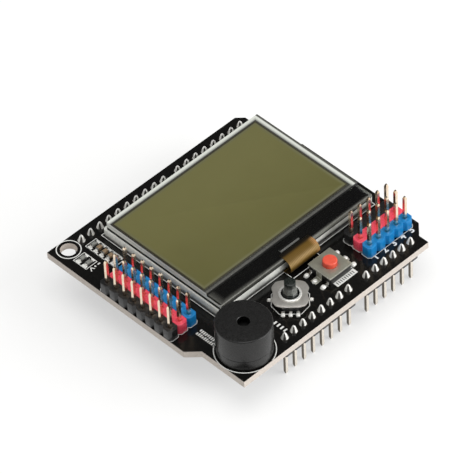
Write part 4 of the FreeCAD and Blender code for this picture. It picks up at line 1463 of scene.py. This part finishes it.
@dataclass
class Headers:
    """All strips, pins and solder joints."""

    palette: Palette
    sides: int = 20
    joint: tuple[Spot, ...] = ((0.82, 0.0), (0.81, 0.05), (0.75, 0.18), (0.67, 0.38), (0.58, 0.6),
                               (0.50, 0.8), (0.44, 0.98), (0.37, 1.15), (0.28, 1.3), (0.18, 1.39),
                               (0.07, 1.42))

    def build(self) -> None:
        """Build the strips, dress the pins and grow the joints."""
        for rows, finish in ((STACKING_ROWS, self.palette.tail), (SIGNAL_ROWS, self.palette.gold)):
            for row in rows:
                row.strip(self.palette)
                dress("pins_" + row.name, finish)
        for row in STACKING_ROWS:
            self._joints("solder_" + row.name, row.spots(), BOARD_TOP, 1)
        for place in ("digital", "analog"):
            spots = [spot for row in SIGNAL_ROWS if row.name.startswith(place) for spot in row.spots()]
            self._joints(f"solder_{place}_signals", spots, BOARD_LOW, -1)
        low, high = limits("solder_buzzer")
        middle = (low.y + high.y) / 2
        self._joints("solder_buzzer", [(low.x + 0.74, middle), (high.x - 0.74, middle)], BOARD_LOW, -1)
        dress("buzzer_leads", self.palette.tin)

    def _joints(self, node: str, spots: Sequence[Spot], level: float, side: int) -> None:
        """Concave solder joints round a row of pins.

        Args:
            node: The CAD node that they replace.
            spots: Place of every pin.
            level: Face of the board that they stand on.
            side: 1 above the board, -1 below it.
        """
        shape = Shape()
        dice = random.Random(node)
        for across, along in spots:
            part = bmesh.new()
            wide = dice.uniform(0.94, 1.03)
            lean = dice.uniform(0.0, 2 * math.pi)
            rings = []
            for radius, rise in self.joint:
                spread = wide if rise < 1.0 else 1.0
                ring = []
                for step in range(self.sides):
                    turn = 2 * math.pi * step / self.sides
                    sag = 1.0 - 0.04 * (1 - math.cos(turn - lean)) * (rise < 0.6)
                    reach = radius * spread * sag
                    off_across, off_along = reach * math.cos(turn), reach * math.sin(turn)
                    place = (across + off_across, along + off_along, level + side * rise)
                    ring.append(part.verts.new(place))
                rings.append(ring)
            for first, second in zip(rings, rings[1:]):
                for step in range(self.sides):
                    after = (step + 1) % self.sides
                    part.faces.new((first[step], first[after], second[after], second[step]))
            part.faces.new(rings[0])
            part.faces.new(rings[-1])
            shape.take(part)
        shape.finish("joints_" + node.removeprefix("solder_"), [self.palette.joint], Body.BOARD, "solder",
                     [node], 60.0)


@dataclass
class Display:
    """Backlight frame, two glass plates, films, ledge coat, driver chip and flex tail."""

    palette: Palette
    wall: float = 1.2
    bend_steps: int = 20

    def build(self) -> None:
        """Build the stack from the board up."""
        self._frame()
        self._plates()
        self._gasket()
        self._margin()
        self._film()
        self._ledge()
        self._flex()
        for node, finish in (("reflector_sheet", self.palette.white), ("light_guide", self.palette.clear),
                             ("backlight_lamps", self.palette.white),
                             ("rear_polariser", self.palette.diffuser)):
            dress(node, finish)

    def _frame(self) -> None:
        """Milky tub with round corners and a floor."""
        low, high = limits("backlight_frame")
        shape = Shape()
        outer = rounded(low.x, high.x, low.y, high.y, 0.5)
        inner = rounded(low.x + self.wall, high.x - self.wall, low.y + self.wall, high.y - self.wall, 0.3)
        shape.tube(outer, inner, low.z, high.z, 0.09, floor=low.z + 0.5)
        shape.finish("light_frame", [self.palette.milky], Body.BOARD, "milky_plastic", ["backlight_frame"])

    def _plates(self) -> None:
        """Two glass plates with ground edges."""
        for node in ("rear_glass", "front_glass"):
            low, high = limits(node)
            shape = Shape()
            shape.box(low.x, high.x, low.y, high.y, low.z + 0.002, high.z - 0.002, 0.05)
            for face in shape.whole.faces:
                face.material_index = int(abs(face.normal.z) < 0.5)
            side = self.palette.lower_side if node == "rear_glass" else self.palette.upper_side
            name = "plate_" + node.removesuffix("_glass")
            shape.finish(name, [self.palette.glass, side], Body.BOARD, "glass", [node])

    def _gasket(self) -> None:
        """Thin black foam between the frame's rim and the lower plate."""
        low, high = limits("rear_glass")
        rim = limits("backlight_frame")[1].z
        rings = [rectangle(low.x + inset, high.x - inset, low.y + inset + 0.25, high.y - inset)
                 for inset in (0.04, 0.2)]
        shape = Shape()
        shape.tube(rings[0], rings[1], rim + 0.01, low.z - 0.005)
        shape.finish("plate_gasket", [self.palette.foam], Body.BOARD)

    def _margin(self) -> None:
        """Thin sheet over the upper plate's bare margins, painted with the light and shade of the frame seen
        through the glass.
        """
        low, high = limits("front_glass")
        film_low, film_high = limits("front_polariser")
        finish = LitMargin("lit_plate_margin", (0.12, 0.12, 0.108), (0.10, 0.10, 0.09), roughness=0.25,
                           film=(film_low.x, film_high.x, film_low.y, film_high.y))
        outer = rectangle(low.x + 0.02, high.x - 0.02, low.y + 0.02, high.y - 0.02)
        inner = rectangle(film_low.x - 0.005, film_high.x + 0.005, film_low.y - 0.005, film_high.y + 0.005)
        shape = Shape()
        shape.tube(outer, inner, high.z - 0.01, high.z + 0.004)
        shape.finish("plate_margin", [finish], Body.BOARD)

    def _film(self) -> None:
        """The olive film on the upper glass."""
        low, high = limits("front_polariser")
        middle, half = (low + high) / 2, (high - low) / 2
        finish = DisplayFilm("olive_display_film", (0.119, 0.113, 0.039), (0.166, 0.158, 0.060),
                             roughness=0.2, swing=0.03, patches=0.11, depth=0.02,
                             centre=(middle.x, middle.y), half=(half.x, half.y))
        shape = Shape()
        shape.prism(rounded(low.x, high.x, low.y, high.y, 0.25), low.z, high.z, 0.03)
        shape.finish("display_film", [finish], Body.BOARD, "olive_film", ["front_polariser"])

    def _ledge(self) -> None:
        """Ledge coat and driver chip."""
        low, high = limits("ledge_tape")
        middle, half = (low + high) / 2, (high - low) / 2
        finish = LedgeCoat("black_ledge_coat", (0.0022, 0.0022, 0.002), (0.0035, 0.0035, 0.003),
                           roughness=0.24, swing=0.05, depth=0.04,
                           centre=(middle.x, middle.y), half=(half.x, half.y))
        dress("ledge_tape", finish)
        plate_low, plate_high = limits("rear_glass")
        shape = Shape()
        shape.box(plate_low.x + 0.06, plate_high.x - 0.06, plate_low.y + 0.05, low.y - 0.002,
                  plate_high.z - 0.012, plate_high.z + 0.004)
        shape.finish("ledge_margin", [self.palette.bare_margin], Body.BOARD)
        low, high = limits("driver_chip")
        silicon = DriverChip("dark_silicon", (0.004, 0.004, 0.0037), (0.007, 0.007, 0.0065), roughness=0.22,
                             depth=0.02, front=low.y)
        shape = Shape()
        shape.box(low.x, high.x, low.y, high.y, low.z, high.z, 0.05)
        shape.finish("driver_die", [silicon], Body.BOARD, "silicon", ["driver_chip"])

    def _flex(self) -> None:
        """Amber film that runs off the glass, round its edge and under the frame."""
        low, high = limits("flex_tail")
        thick = 0.12
        radius = (high.z - low.z) / 2 - thick / 2
        axis_along = low.y + radius + thick / 2
        axis_up = (low.z + high.z) / 2
        path = [(-10.27, axis_up + radius), (axis_along, axis_up + radius)]
        for step in range(1, self.bend_steps):
            turn = math.pi / 2 + math.pi * step / self.bend_steps
            path.append((axis_along + radius * math.cos(turn), axis_up + radius * math.sin(turn)))
        path += [(axis_along, axis_up - radius), (high.y, axis_up - radius)]
        part = bmesh.new()
        rows = []
        for index, (along, up) in enumerate(path):
            before, after = path[max(index - 1, 0)], path[min(index + 1, len(path) - 1)]
            run = Vector((after[0] - before[0], after[1] - before[1])).normalized()
            off = Vector((run.y, -run.x)) * thick / 2
            rows.append([part.verts.new((across, along + sign * off.x, up + sign * off.y))
                         for across, sign in ((low.x, 1), (high.x, 1), (high.x, -1), (low.x, -1))])
        for first, second in zip(rows, rows[1:]):
            for corner in range(4):
                following = (corner + 1) % 4
                part.faces.new((first[corner], second[corner], second[following], first[following]))
        part.faces.new(rows[0])
        part.faces.new(rows[-1][::-1])
        shape = Shape()
        shape.take(part, 0.02)
        shape.finish("flex_film", [self.palette.amber], Body.BOARD, "amber_film", ["flex_tail"])


@dataclass
class Buzzer:
    """Round buzzer with its lid, plug and inner parts."""

    palette: Palette
    radius: float = 5.8
    height: float = 8.2
    seam: float = 2.6
    fillet: float = 0.3
    port: float = 1.28

    def build(self) -> None:
        """Turn the case and the plug, and dress what is inside."""
        low, high = limits("buzzer_case")
        centre = ((low.x + high.x) / 2, (low.y + high.y) / 2)
        self._case(centre)
        self._plug(centre)
        for node, finish in (("buzzer_yoke", self.palette.iron), ("buzzer_magnet", self.palette.iron),
                             # The diaphragm gets near-black iron as painted shade down the sound port.
                             ("buzzer_diaphragm", self.palette.dark_iron),
                             ("buzzer_coil", self.palette.copper)):
            dress(node, finish)

    def _case(self, centre: Spot) -> None:
        """Case with a rounded rim and a sound port.

        Args:
            centre: Place of the buzzer's axis.
        """
        top = BOARD_TOP + self.height
        profile = [(self.port, top - 0.8), (self.port, top - 0.1), (self.port + 0.1, top)]
        profile += [(self.radius - self.fillet + self.fillet * math.sin(turn),
                     top - self.fillet + self.fillet * math.cos(turn))
                    for turn in (0.0, 0.4, 0.8, 1.2, math.pi / 2)]
        profile += [(self.radius, BOARD_TOP + self.seam + 0.06), (self.radius - 0.06, BOARD_TOP + self.seam),
                    (self.radius - 0.6, BOARD_TOP + self.seam), (self.radius - 0.6, top - 0.8)]
        shape = Shape()
        shape.lathe(profile, centre, 96)
        shape.finish("buzzer_lid", [self.palette.buzzer], Body.BOARD, "buzzer_black", ["buzzer_case"])

    def _plug(self, centre: Spot) -> None:
        """Plug that closes the case from below.

        Args:
            centre: Place of the buzzer's axis.
        """
        outer = self.radius - 0.12
        groove = outer - 0.32
        profile = [(0.0, 0.0), (outer - 0.25, 0.0), (outer, 0.25), (outer, self.seam - 0.2),
                   (groove, self.seam - 0.14), (groove, self.seam), (5.2, self.seam), (5.2, 5.5),
                   (4.6, 5.5), (4.6, 1.5), (0.0, 1.5)]
        shape = Shape()
        shape.lathe([(radius, BOARD_TOP + level) for radius, level in profile], centre, 96)
        shape.finish("buzzer_plug", [self.palette.buzzer], Body.BOARD, "buzzer_black", ["buzzer_base"])


@dataclass
class LeverSwitch:
    """Five-way switch, built in its own frame and turned with it."""

    palette: Palette
    spot: Spot = (-4.278, -17.85)
    turn: float = -45.0
    half: float = 3.7
    half_base: float = 3.25
    waist: float = 0.22
    corner_cut: float = 1.7
    well: float = 2.35
    well_floor: float = 0.45
    opening: float = 1.85
    cover_low: float = 1.6
    cover_top: float = 1.9
    sheet: float = 0.2
    leg_half: float = 0.36
    leg_rows: tuple[float, ...] = (-1.5, 0.0, 1.5)
    leg_end: float = 4.45
    tab_half: float = 0.42
    tab_end: float = 4.6
    pivot: float = 1.55
    ball: float = 0.5
    skirt: float = 1.75
    head_half: float = 1.15
    head_low: float = 4.1
    head_top: float = 5.4
    collar_low: float = 2.75
    collar_spread: float = 1.24

    def build(self) -> None:
        """Build the fixed parts and the lever."""
        self.place = turned_at(self.spot, self.turn, BOARD_TOP)
        self._base()
        self._cover()
        self._legs()
        self._lever()
        dress("lever_dome", self.palette.nickel)
        dress("lever_seat", self.palette.switch_black)
        dress("lever_ring", self.palette.switch_black)

    def _base(self) -> None:
        """Black base with cut corners and its round well."""
        shape = Shape(self.place)
        half, cut = self.half_base, self.half_base - self.corner_cut
        corners = [(-cut, -half), (cut, -half), (half, -cut), (half, cut), (cut, half), (-cut, half),
                   (-half, cut), (-half, -cut)]
        outer = divide(corners, 4)
        shape.tube(outer, circled(outer, self.well), 0.0, self.cover_low, 0.05, floor=self.well_floor)
        shape.finish("lever_body", [self.palette.switch_black], Body.BOARD, "switch_black", ["lever_base"])

    def _cover(self) -> None:
        """Stamped cover with lobed corners, a raised ring and two side tabs."""
        half, waist = self.half, self.half - self.waist
        right = [(2.65, -half), (half, -2.0), (half, -1.1), (waist, -0.88), (waist, 0.88), (half, 1.1),
                 (half, 2.0), (2.65, half)]
        outline = soften(right + [(-across, along) for across, along in reversed(right)], 2, 0.22)
        shape = Shape(self.place)
        shape.tube(outline, circled(outline, self.opening), self.cover_low, self.cover_top, 0.07)
        lip = [(self.opening, 1.88), (self.opening, 2.13), (1.9, 2.18), (2.2, 2.18), (2.3, 2.12),
               (2.34, 1.88)]
        shape.lathe(lip, segments=64, slot=1)
        for side in (-1, 1):
            near, far = sorted((side * self.half_base, side * waist))
            shape.box(near, far, -self.tab_half, self.tab_half, 0.0, self.cover_low + 0.05, 0.04)
            near, far = sorted((side * self.half_base, side * self.tab_end))
            shape.box(near, far, -self.tab_half, self.tab_half, 0.0, self.sheet, 0.04)
        shape.finish("lever_shell", [self.palette.nickel, self.palette.ring], Body.BOARD, "switch_metal",
                     ["lever_cover"])

    def _legs(self) -> None:
        """Six bent legs with solder at their feet."""
        shape = Shape(self.place)
        joints = Shape(self.place)
        for side in (-1, 1):
            heap = rectangle(side * 4.15 - 0.42, side * 4.15 + 0.42, -0.45, 0.45)
            joints.prism(soften(heap, 2), 0.0, 0.42, 0.06, taper=0.6)
            for across in self.leg_rows:
                left, right = across - self.leg_half, across + self.leg_half
                near, far = sorted((side * self.half_base, side * self.leg_end))
                shape.box(left, right, near, far, 0.0, self.sheet, 0.04)
                near, far = sorted((side * self.half_base, side * (self.half_base + self.sheet)))
                shape.box(left, right, near, far, 0.1, 0.4, 0.04)
                heap = rectangle(across - 0.46, across + 0.46, side * 4.1 - 0.5, side * 4.1 + 0.5)
                joints.prism(soften(heap, 1, 0.2), 0.0, 0.36, 0.08, taper=0.72)
        shape.finish("lever_feet", [self.palette.tin], Body.BOARD, "pin_tin", ["lever_legs"])
        joints.finish("lever_solder", [self.palette.solder], Body.BOARD, "solder")

    def _lever(self) -> None:
        """The lever: ball, skirt, collar painted pale as sheen, and eight-sided head."""
        pivot, skirt = self.pivot, self.skirt
        shape = Shape(self.place)
        profile = [(0.0, pivot - self.ball), (0.25, pivot - 0.433), (0.43, pivot - 0.25), (self.ball, pivot),
                   (skirt, pivot)]
        for turn in range(10, 90, 10):
            rise = math.radians(turn)
            profile.append((skirt * math.cos(rise), pivot + skirt * math.sin(rise)))
        shape.lathe(profile + [(0.0, pivot + skirt - 0.01)], segments=8, place=turned_at((0.0, 0.0), 22.5))
        shape.prism(octagon(self.head_half * self.collar_spread), self.collar_low, self.head_low + 0.05, 0.05,
                    slot=1, taper=0.62)
        shape.prism(octagon(self.head_half), self.head_low, self.head_top, 0.1)
        shape.finish("lever_handle", [self.palette.lever, self.palette.collar], Body.LEVER, "lever_dark",
                     ["lever_stick"])


@dataclass
class ResetButton:
    """Push button with its stamped cover, legs and red cap."""

    palette: Palette
    spot: Spot = (6.872, -17.87)
    half: float = 3.15
    half_base: float = 2.97
    base_top: float = 1.7
    cover_top: float = 2.0
    well: float = 1.95
    well_floor: float = 0.5
    opening: float = 1.58
    sheet: float = 0.2
    leg_rows: tuple[float, ...] = (-2.3, 2.3)
    leg_half: float = 0.36
    flap_half: float = 0.75
    leg_end: float = 4.8

    def build(self) -> None:
        """Build the fixed parts and the cap."""
        self.place = turned_at(self.spot, 0.0, BOARD_TOP)
        self._base()
        self._cover()
        self._legs()
        self._cap()
        dress("reset_dome", self.palette.nickel)

    def _base(self) -> None:
        """Black base with its round well."""
        shape = Shape(self.place)
        half = self.half_base
        outer = divide(rounded(-half, half, -half, half, 0.2, 2), 6, 2.0)
        shape.tube(outer, circled(outer, self.well), 0.0, self.base_top, 0.05, floor=self.well_floor)
        shape.finish("reset_body", [self.palette.switch_black], Body.BOARD, "switch_black", ["reset_base"])

    def _cover(self) -> None:
        """Flat cover with a flap down each side."""
        shape = Shape(self.place)
        half = self.half
        outer = divide(rounded(-half, half, -half, half, 0.16, 3), 8, 2.0)
        shape.tube(outer, circled(outer, self.opening), self.base_top, self.cover_top, 0.06)
        for side in (-1, 1):
            near, far = sorted((side * self.half_base, side * half))
            shape.box(near, far, -self.flap_half, self.flap_half, 0.0, self.base_top + 0.05, 0.04)
            near, far = sorted((side * self.half_base, side * self.leg_end))
            shape.box(near, far, -self.flap_half, self.flap_half, 0.0, self.sheet, 0.04)
        shape.finish("reset_plate", [self.palette.plate], Body.BOARD, "switch_metal", ["reset_cover"])

    def _legs(self) -> None:
        """Four bent legs, and solder at their feet and at the flaps'."""
        shape = Shape(self.place)
        joints = Shape(self.place)
        for side in (-1, 1):
            for along in self.leg_rows:
                front, back = along - self.leg_half, along + self.leg_half
                near, far = sorted((side * self.half_base, side * self.leg_end))
                shape.box(near, far, front, back, 0.0, self.sheet, 0.04)
                near, far = sorted((side * self.half_base, side * (self.half_base + self.sheet)))
                shape.box(near, far, front, back, 0.1, 0.75, 0.04)
            for along in (self.leg_rows[0], 0.0, self.leg_rows[1]):
                heap = rectangle(side * 4.3 - 0.7, side * 4.3 + 0.7, along - 0.56, along + 0.56)
                joints.prism(soften(heap, 2), 0.0, 0.5, 0.1, taper=0.6)
        shape.finish("reset_feet", [self.palette.tin], Body.BOARD, "pin_tin", ["reset_legs"])
        joints.finish("reset_solder", [self.palette.solder], Body.BOARD, "solder")

    def _cap(self) -> None:
        """Round cap with a softly rounded top."""
        profile = [(0.0, 0.77), (1.86, 0.77), (1.86, 1.68), (1.5, 1.68), (1.5, 2.92)]
        for turn in (0.0, 0.4, 0.8, 1.2):
            profile.append((1.28 + 0.22 * math.cos(turn), 2.93 + 0.22 * math.sin(turn)))
        profile += [(1.2, 3.15), (0.0, 3.15)]
        shape = Shape(self.place)
        shape.lathe(profile, segments=64)
        shape.finish("reset_knob", [self.palette.cap], Body.RESET, "cap_red", ["reset_cap"])


@dataclass
class ChipParts:
    """Chip resistors and capacitors with their solder."""

    palette: Palette
    pair: tuple[Spot, ...] = ((-24.718, 18.5), (-24.718, 20.3), (-20.528, 21.4))
    row: tuple[Spot, ...] = ((-20.528, 14.88), (-20.528, 16.51), (-20.528, 18.14), (-20.528, 19.77))

    def build(self) -> None:
        """Build both groups."""
        self._group("chip_resistors", "resistors", self.pair, 0.45, self.palette.grey_chip, "chip_grey")
        self._group("chip_capacitors", "capacitors", self.row, 0.75, self.palette.tan_chip, "chip_tan")

    def _group(self, node: str, name: str, spots: Sequence[Spot], height: float, finish: Finish,
               slot: str) -> None:
        """One group of chip parts: ceramic, tinned ends and solder beside them.

        Args:
            node: The CAD node that they replace.
            name: The new piece's name.
            spots: Place of every chip.
            height: Height of the ceramic.
            finish: The ceramic's finish.
            slot: The record's material slot.
        """
        shape = Shape(Matrix.Translation((0.0, 0.0, BOARD_TOP)))
        for across, along in spots:
            shape.box(across - 0.52, across + 0.52, along - 0.4, along + 0.4, 0.02, height, 0.04)
            for side in (-1, 1):
                near, far = sorted((across + side * 0.5, across + side * 0.8))
                shape.box(near, far, along - 0.43, along + 0.43, 0.0, height + 0.03, 0.05, 1)
                middle = across + side * 0.85
                heap = rectangle(middle - 0.25, middle + 0.25, along - 0.46, along + 0.46)
                shape.prism(soften(heap, 1), 0.0, height * 0.5, 0.05, 2, taper=0.6)
        shape.finish(name, [finish, self.palette.tin, self.palette.solder], Body.BOARD, slot, [node])


# Studio


@dataclass
class Studio:
    """Camera, pale floor, soft lamps and the world round the part."""

    azimuth: float = -42.69995
    elevation: float = 45.90816
    roll: float = -2.83401
    eye: tuple[float, float, float] = (-404.8357, -437.3289, 627.3685)
    lens: float = 326.317
    key_power: float = 16.0
    left_power: float = 0.6
    top_power: float = 7.5

    def build(self) -> None:
        """Make the studio."""
        self._camera()
        self._floor()
        self._world()
        self._lamp("key_lamp", (0.50, -0.78, 0.36), 1.4, 1.1, self.key_power)
        self._lamp("left_lamp", (-0.80, 0.40, 0.42), 1.4, 0.9, self.left_power)
        self._lamp("top_lamp", (-0.05, -0.12, 1.0), 1.4, 1.0, self.top_power)

    def _camera(self) -> None:
        """Camera at the photograph's angle, with its long lens."""
        data = bpy.data.cameras.new("camera")
        data.sensor_width = 36.0
        data.lens = self.lens
        data.clip_start = 0.05
        data.clip_end = 20.0
        turn, rise = math.radians(self.azimuth), math.radians(self.elevation)
        back = Vector((math.sin(turn) * math.cos(rise), -math.cos(turn) * math.cos(rise), math.sin(rise)))
        camera = bpy.data.objects.new("camera", data)
        camera.rotation_mode = "QUATERNION"
        aim = (-back).to_track_quat("-Z", "Y").to_matrix().to_4x4()
        camera.matrix_world = (Matrix.Translation(Vector(self.eye) * MM) @ aim
                               @ Matrix.Rotation(math.radians(self.roll), 4, "Z"))
        bpy.context.scene.collection.objects.link(camera)
        bpy.context.scene.camera = camera
        bpy.context.scene.view_settings.view_transform = "Standard"

    def _floor(self) -> None:
        """Pale floor that the camera sees as white outside the soft shadow."""
        mesh = bpy.data.meshes.new("floor")
        reach = 4.0
        mesh.from_pydata([(-reach, -reach, 0), (reach, -reach, 0), (reach, reach, 0), (-reach, reach, 0)],
                         [], [(0, 1, 2, 3)])
        floor = bpy.data.objects.new("floor", mesh)
        bpy.context.scene.collection.objects.link(floor)
        paper = bpy.data.materials.new("pale_floor")
        paper.use_nodes = True
        desk = NodeDesk(paper.node_tree)
        shader = paper.node_tree.nodes["Principled BSDF"]
        shader.inputs["Roughness"].default_value = 1.0
        shader.inputs["Specular IOR Level"].default_value = 0.0
        path = desk.add("LightPath")
        seen = desk.math("MAXIMUM", path.outputs["Is Camera Ray"], path.outputs["Is Glossy Ray"])
        seen = desk.math("MAXIMUM", seen, path.outputs["Is Transmission Ray"])
        shader.inputs["Emission Color"].default_value = (1.0, 1.0, 1.0, 1.0)
        desk.put(shader.inputs["Emission Strength"], desk.math("MULTIPLY", seen, 0.5))
        grains = desk.noise(desk.place(), 0.4)
        desk.put(shader.inputs["Base Color"], desk.blend(grains, (0.51, 0.51, 0.505), (0.50, 0.50, 0.495)))
        mesh.materials.append(paper)

    def _world(self) -> None:
        """Dim room light, with white for what the camera sees past the floor."""
        world = bpy.data.worlds.new("studio_world")
        bpy.context.scene.world = world
        world.use_nodes = True
        desk = NodeDesk(world.node_tree)
        back = world.node_tree.nodes["Background"]
        path = desk.add("LightPath")
        direction = desk.add("TexCoord")
        across, along, up = desk.axes(direction.outputs["Generated"])
        rightward = desk.math("MULTIPLY", desk.math("SUBTRACT", across, along), math.sqrt(0.5))
        level = desk.blend(desk.spread(rightward, 0.25, 0.8), (0.10, 0.10, 0.10), (0.85, 0.85, 0.84))
        level = desk.blend(desk.spread(rightward, -0.8, -0.25, 1.0, 0.0), level, (0.55, 0.55, 0.55))
        mirrored = desk.blend(desk.spread(up, 0.15, 0.6), level, (0.08, 0.08, 0.08))
        room = desk.blend(path.outputs["Is Diffuse Ray"], mirrored, (0.5, 0.5, 0.495))
        desk.put(back.inputs["Color"], desk.blend(path.outputs["Is Camera Ray"], room, (1.0, 1.0, 1.0)))

    def _lamp(self, name: str, direction: tuple[float, float, float], distance: float, size: float,
              power: float) -> None:
        """Soft square lamp that faces the part.

        Args:
            name: The lamp's name.
            direction: Where it stands, seen from the part.
            distance: How far away, in metres.
            size: Side of the lamp, in metres.
            power: Power in watts.
        """
        data = bpy.data.lights.new(name, "AREA")
        data.shape = "SQUARE"
        data.size = size
        data.energy = power
        lamp = bpy.data.objects.new(name, data)
        away = Vector(direction).normalized()
        lamp.matrix_world = (Matrix.Translation(away * distance)
                             @ (-away).to_track_quat("-Z", "Y").to_matrix().to_4x4())
        bpy.context.scene.collection.objects.link(lamp)


def main() -> None:
    """Build the studio and every sub-assembly."""
    logging.basicConfig(level=logging.INFO, format="%(name)s %(message)s")
    palette = Palette()
    Studio().build()
    for assembly in (PrintedBoard(palette), Headers(palette), Display(palette), Buzzer(palette),
                     LeverSwitch(palette), ResetButton(palette), ChipParts(palette)):
        LOG.info("sub-assembly %s", type(assembly).__name__)
        assembly.build()


if __name__ == "__main__":
    main()
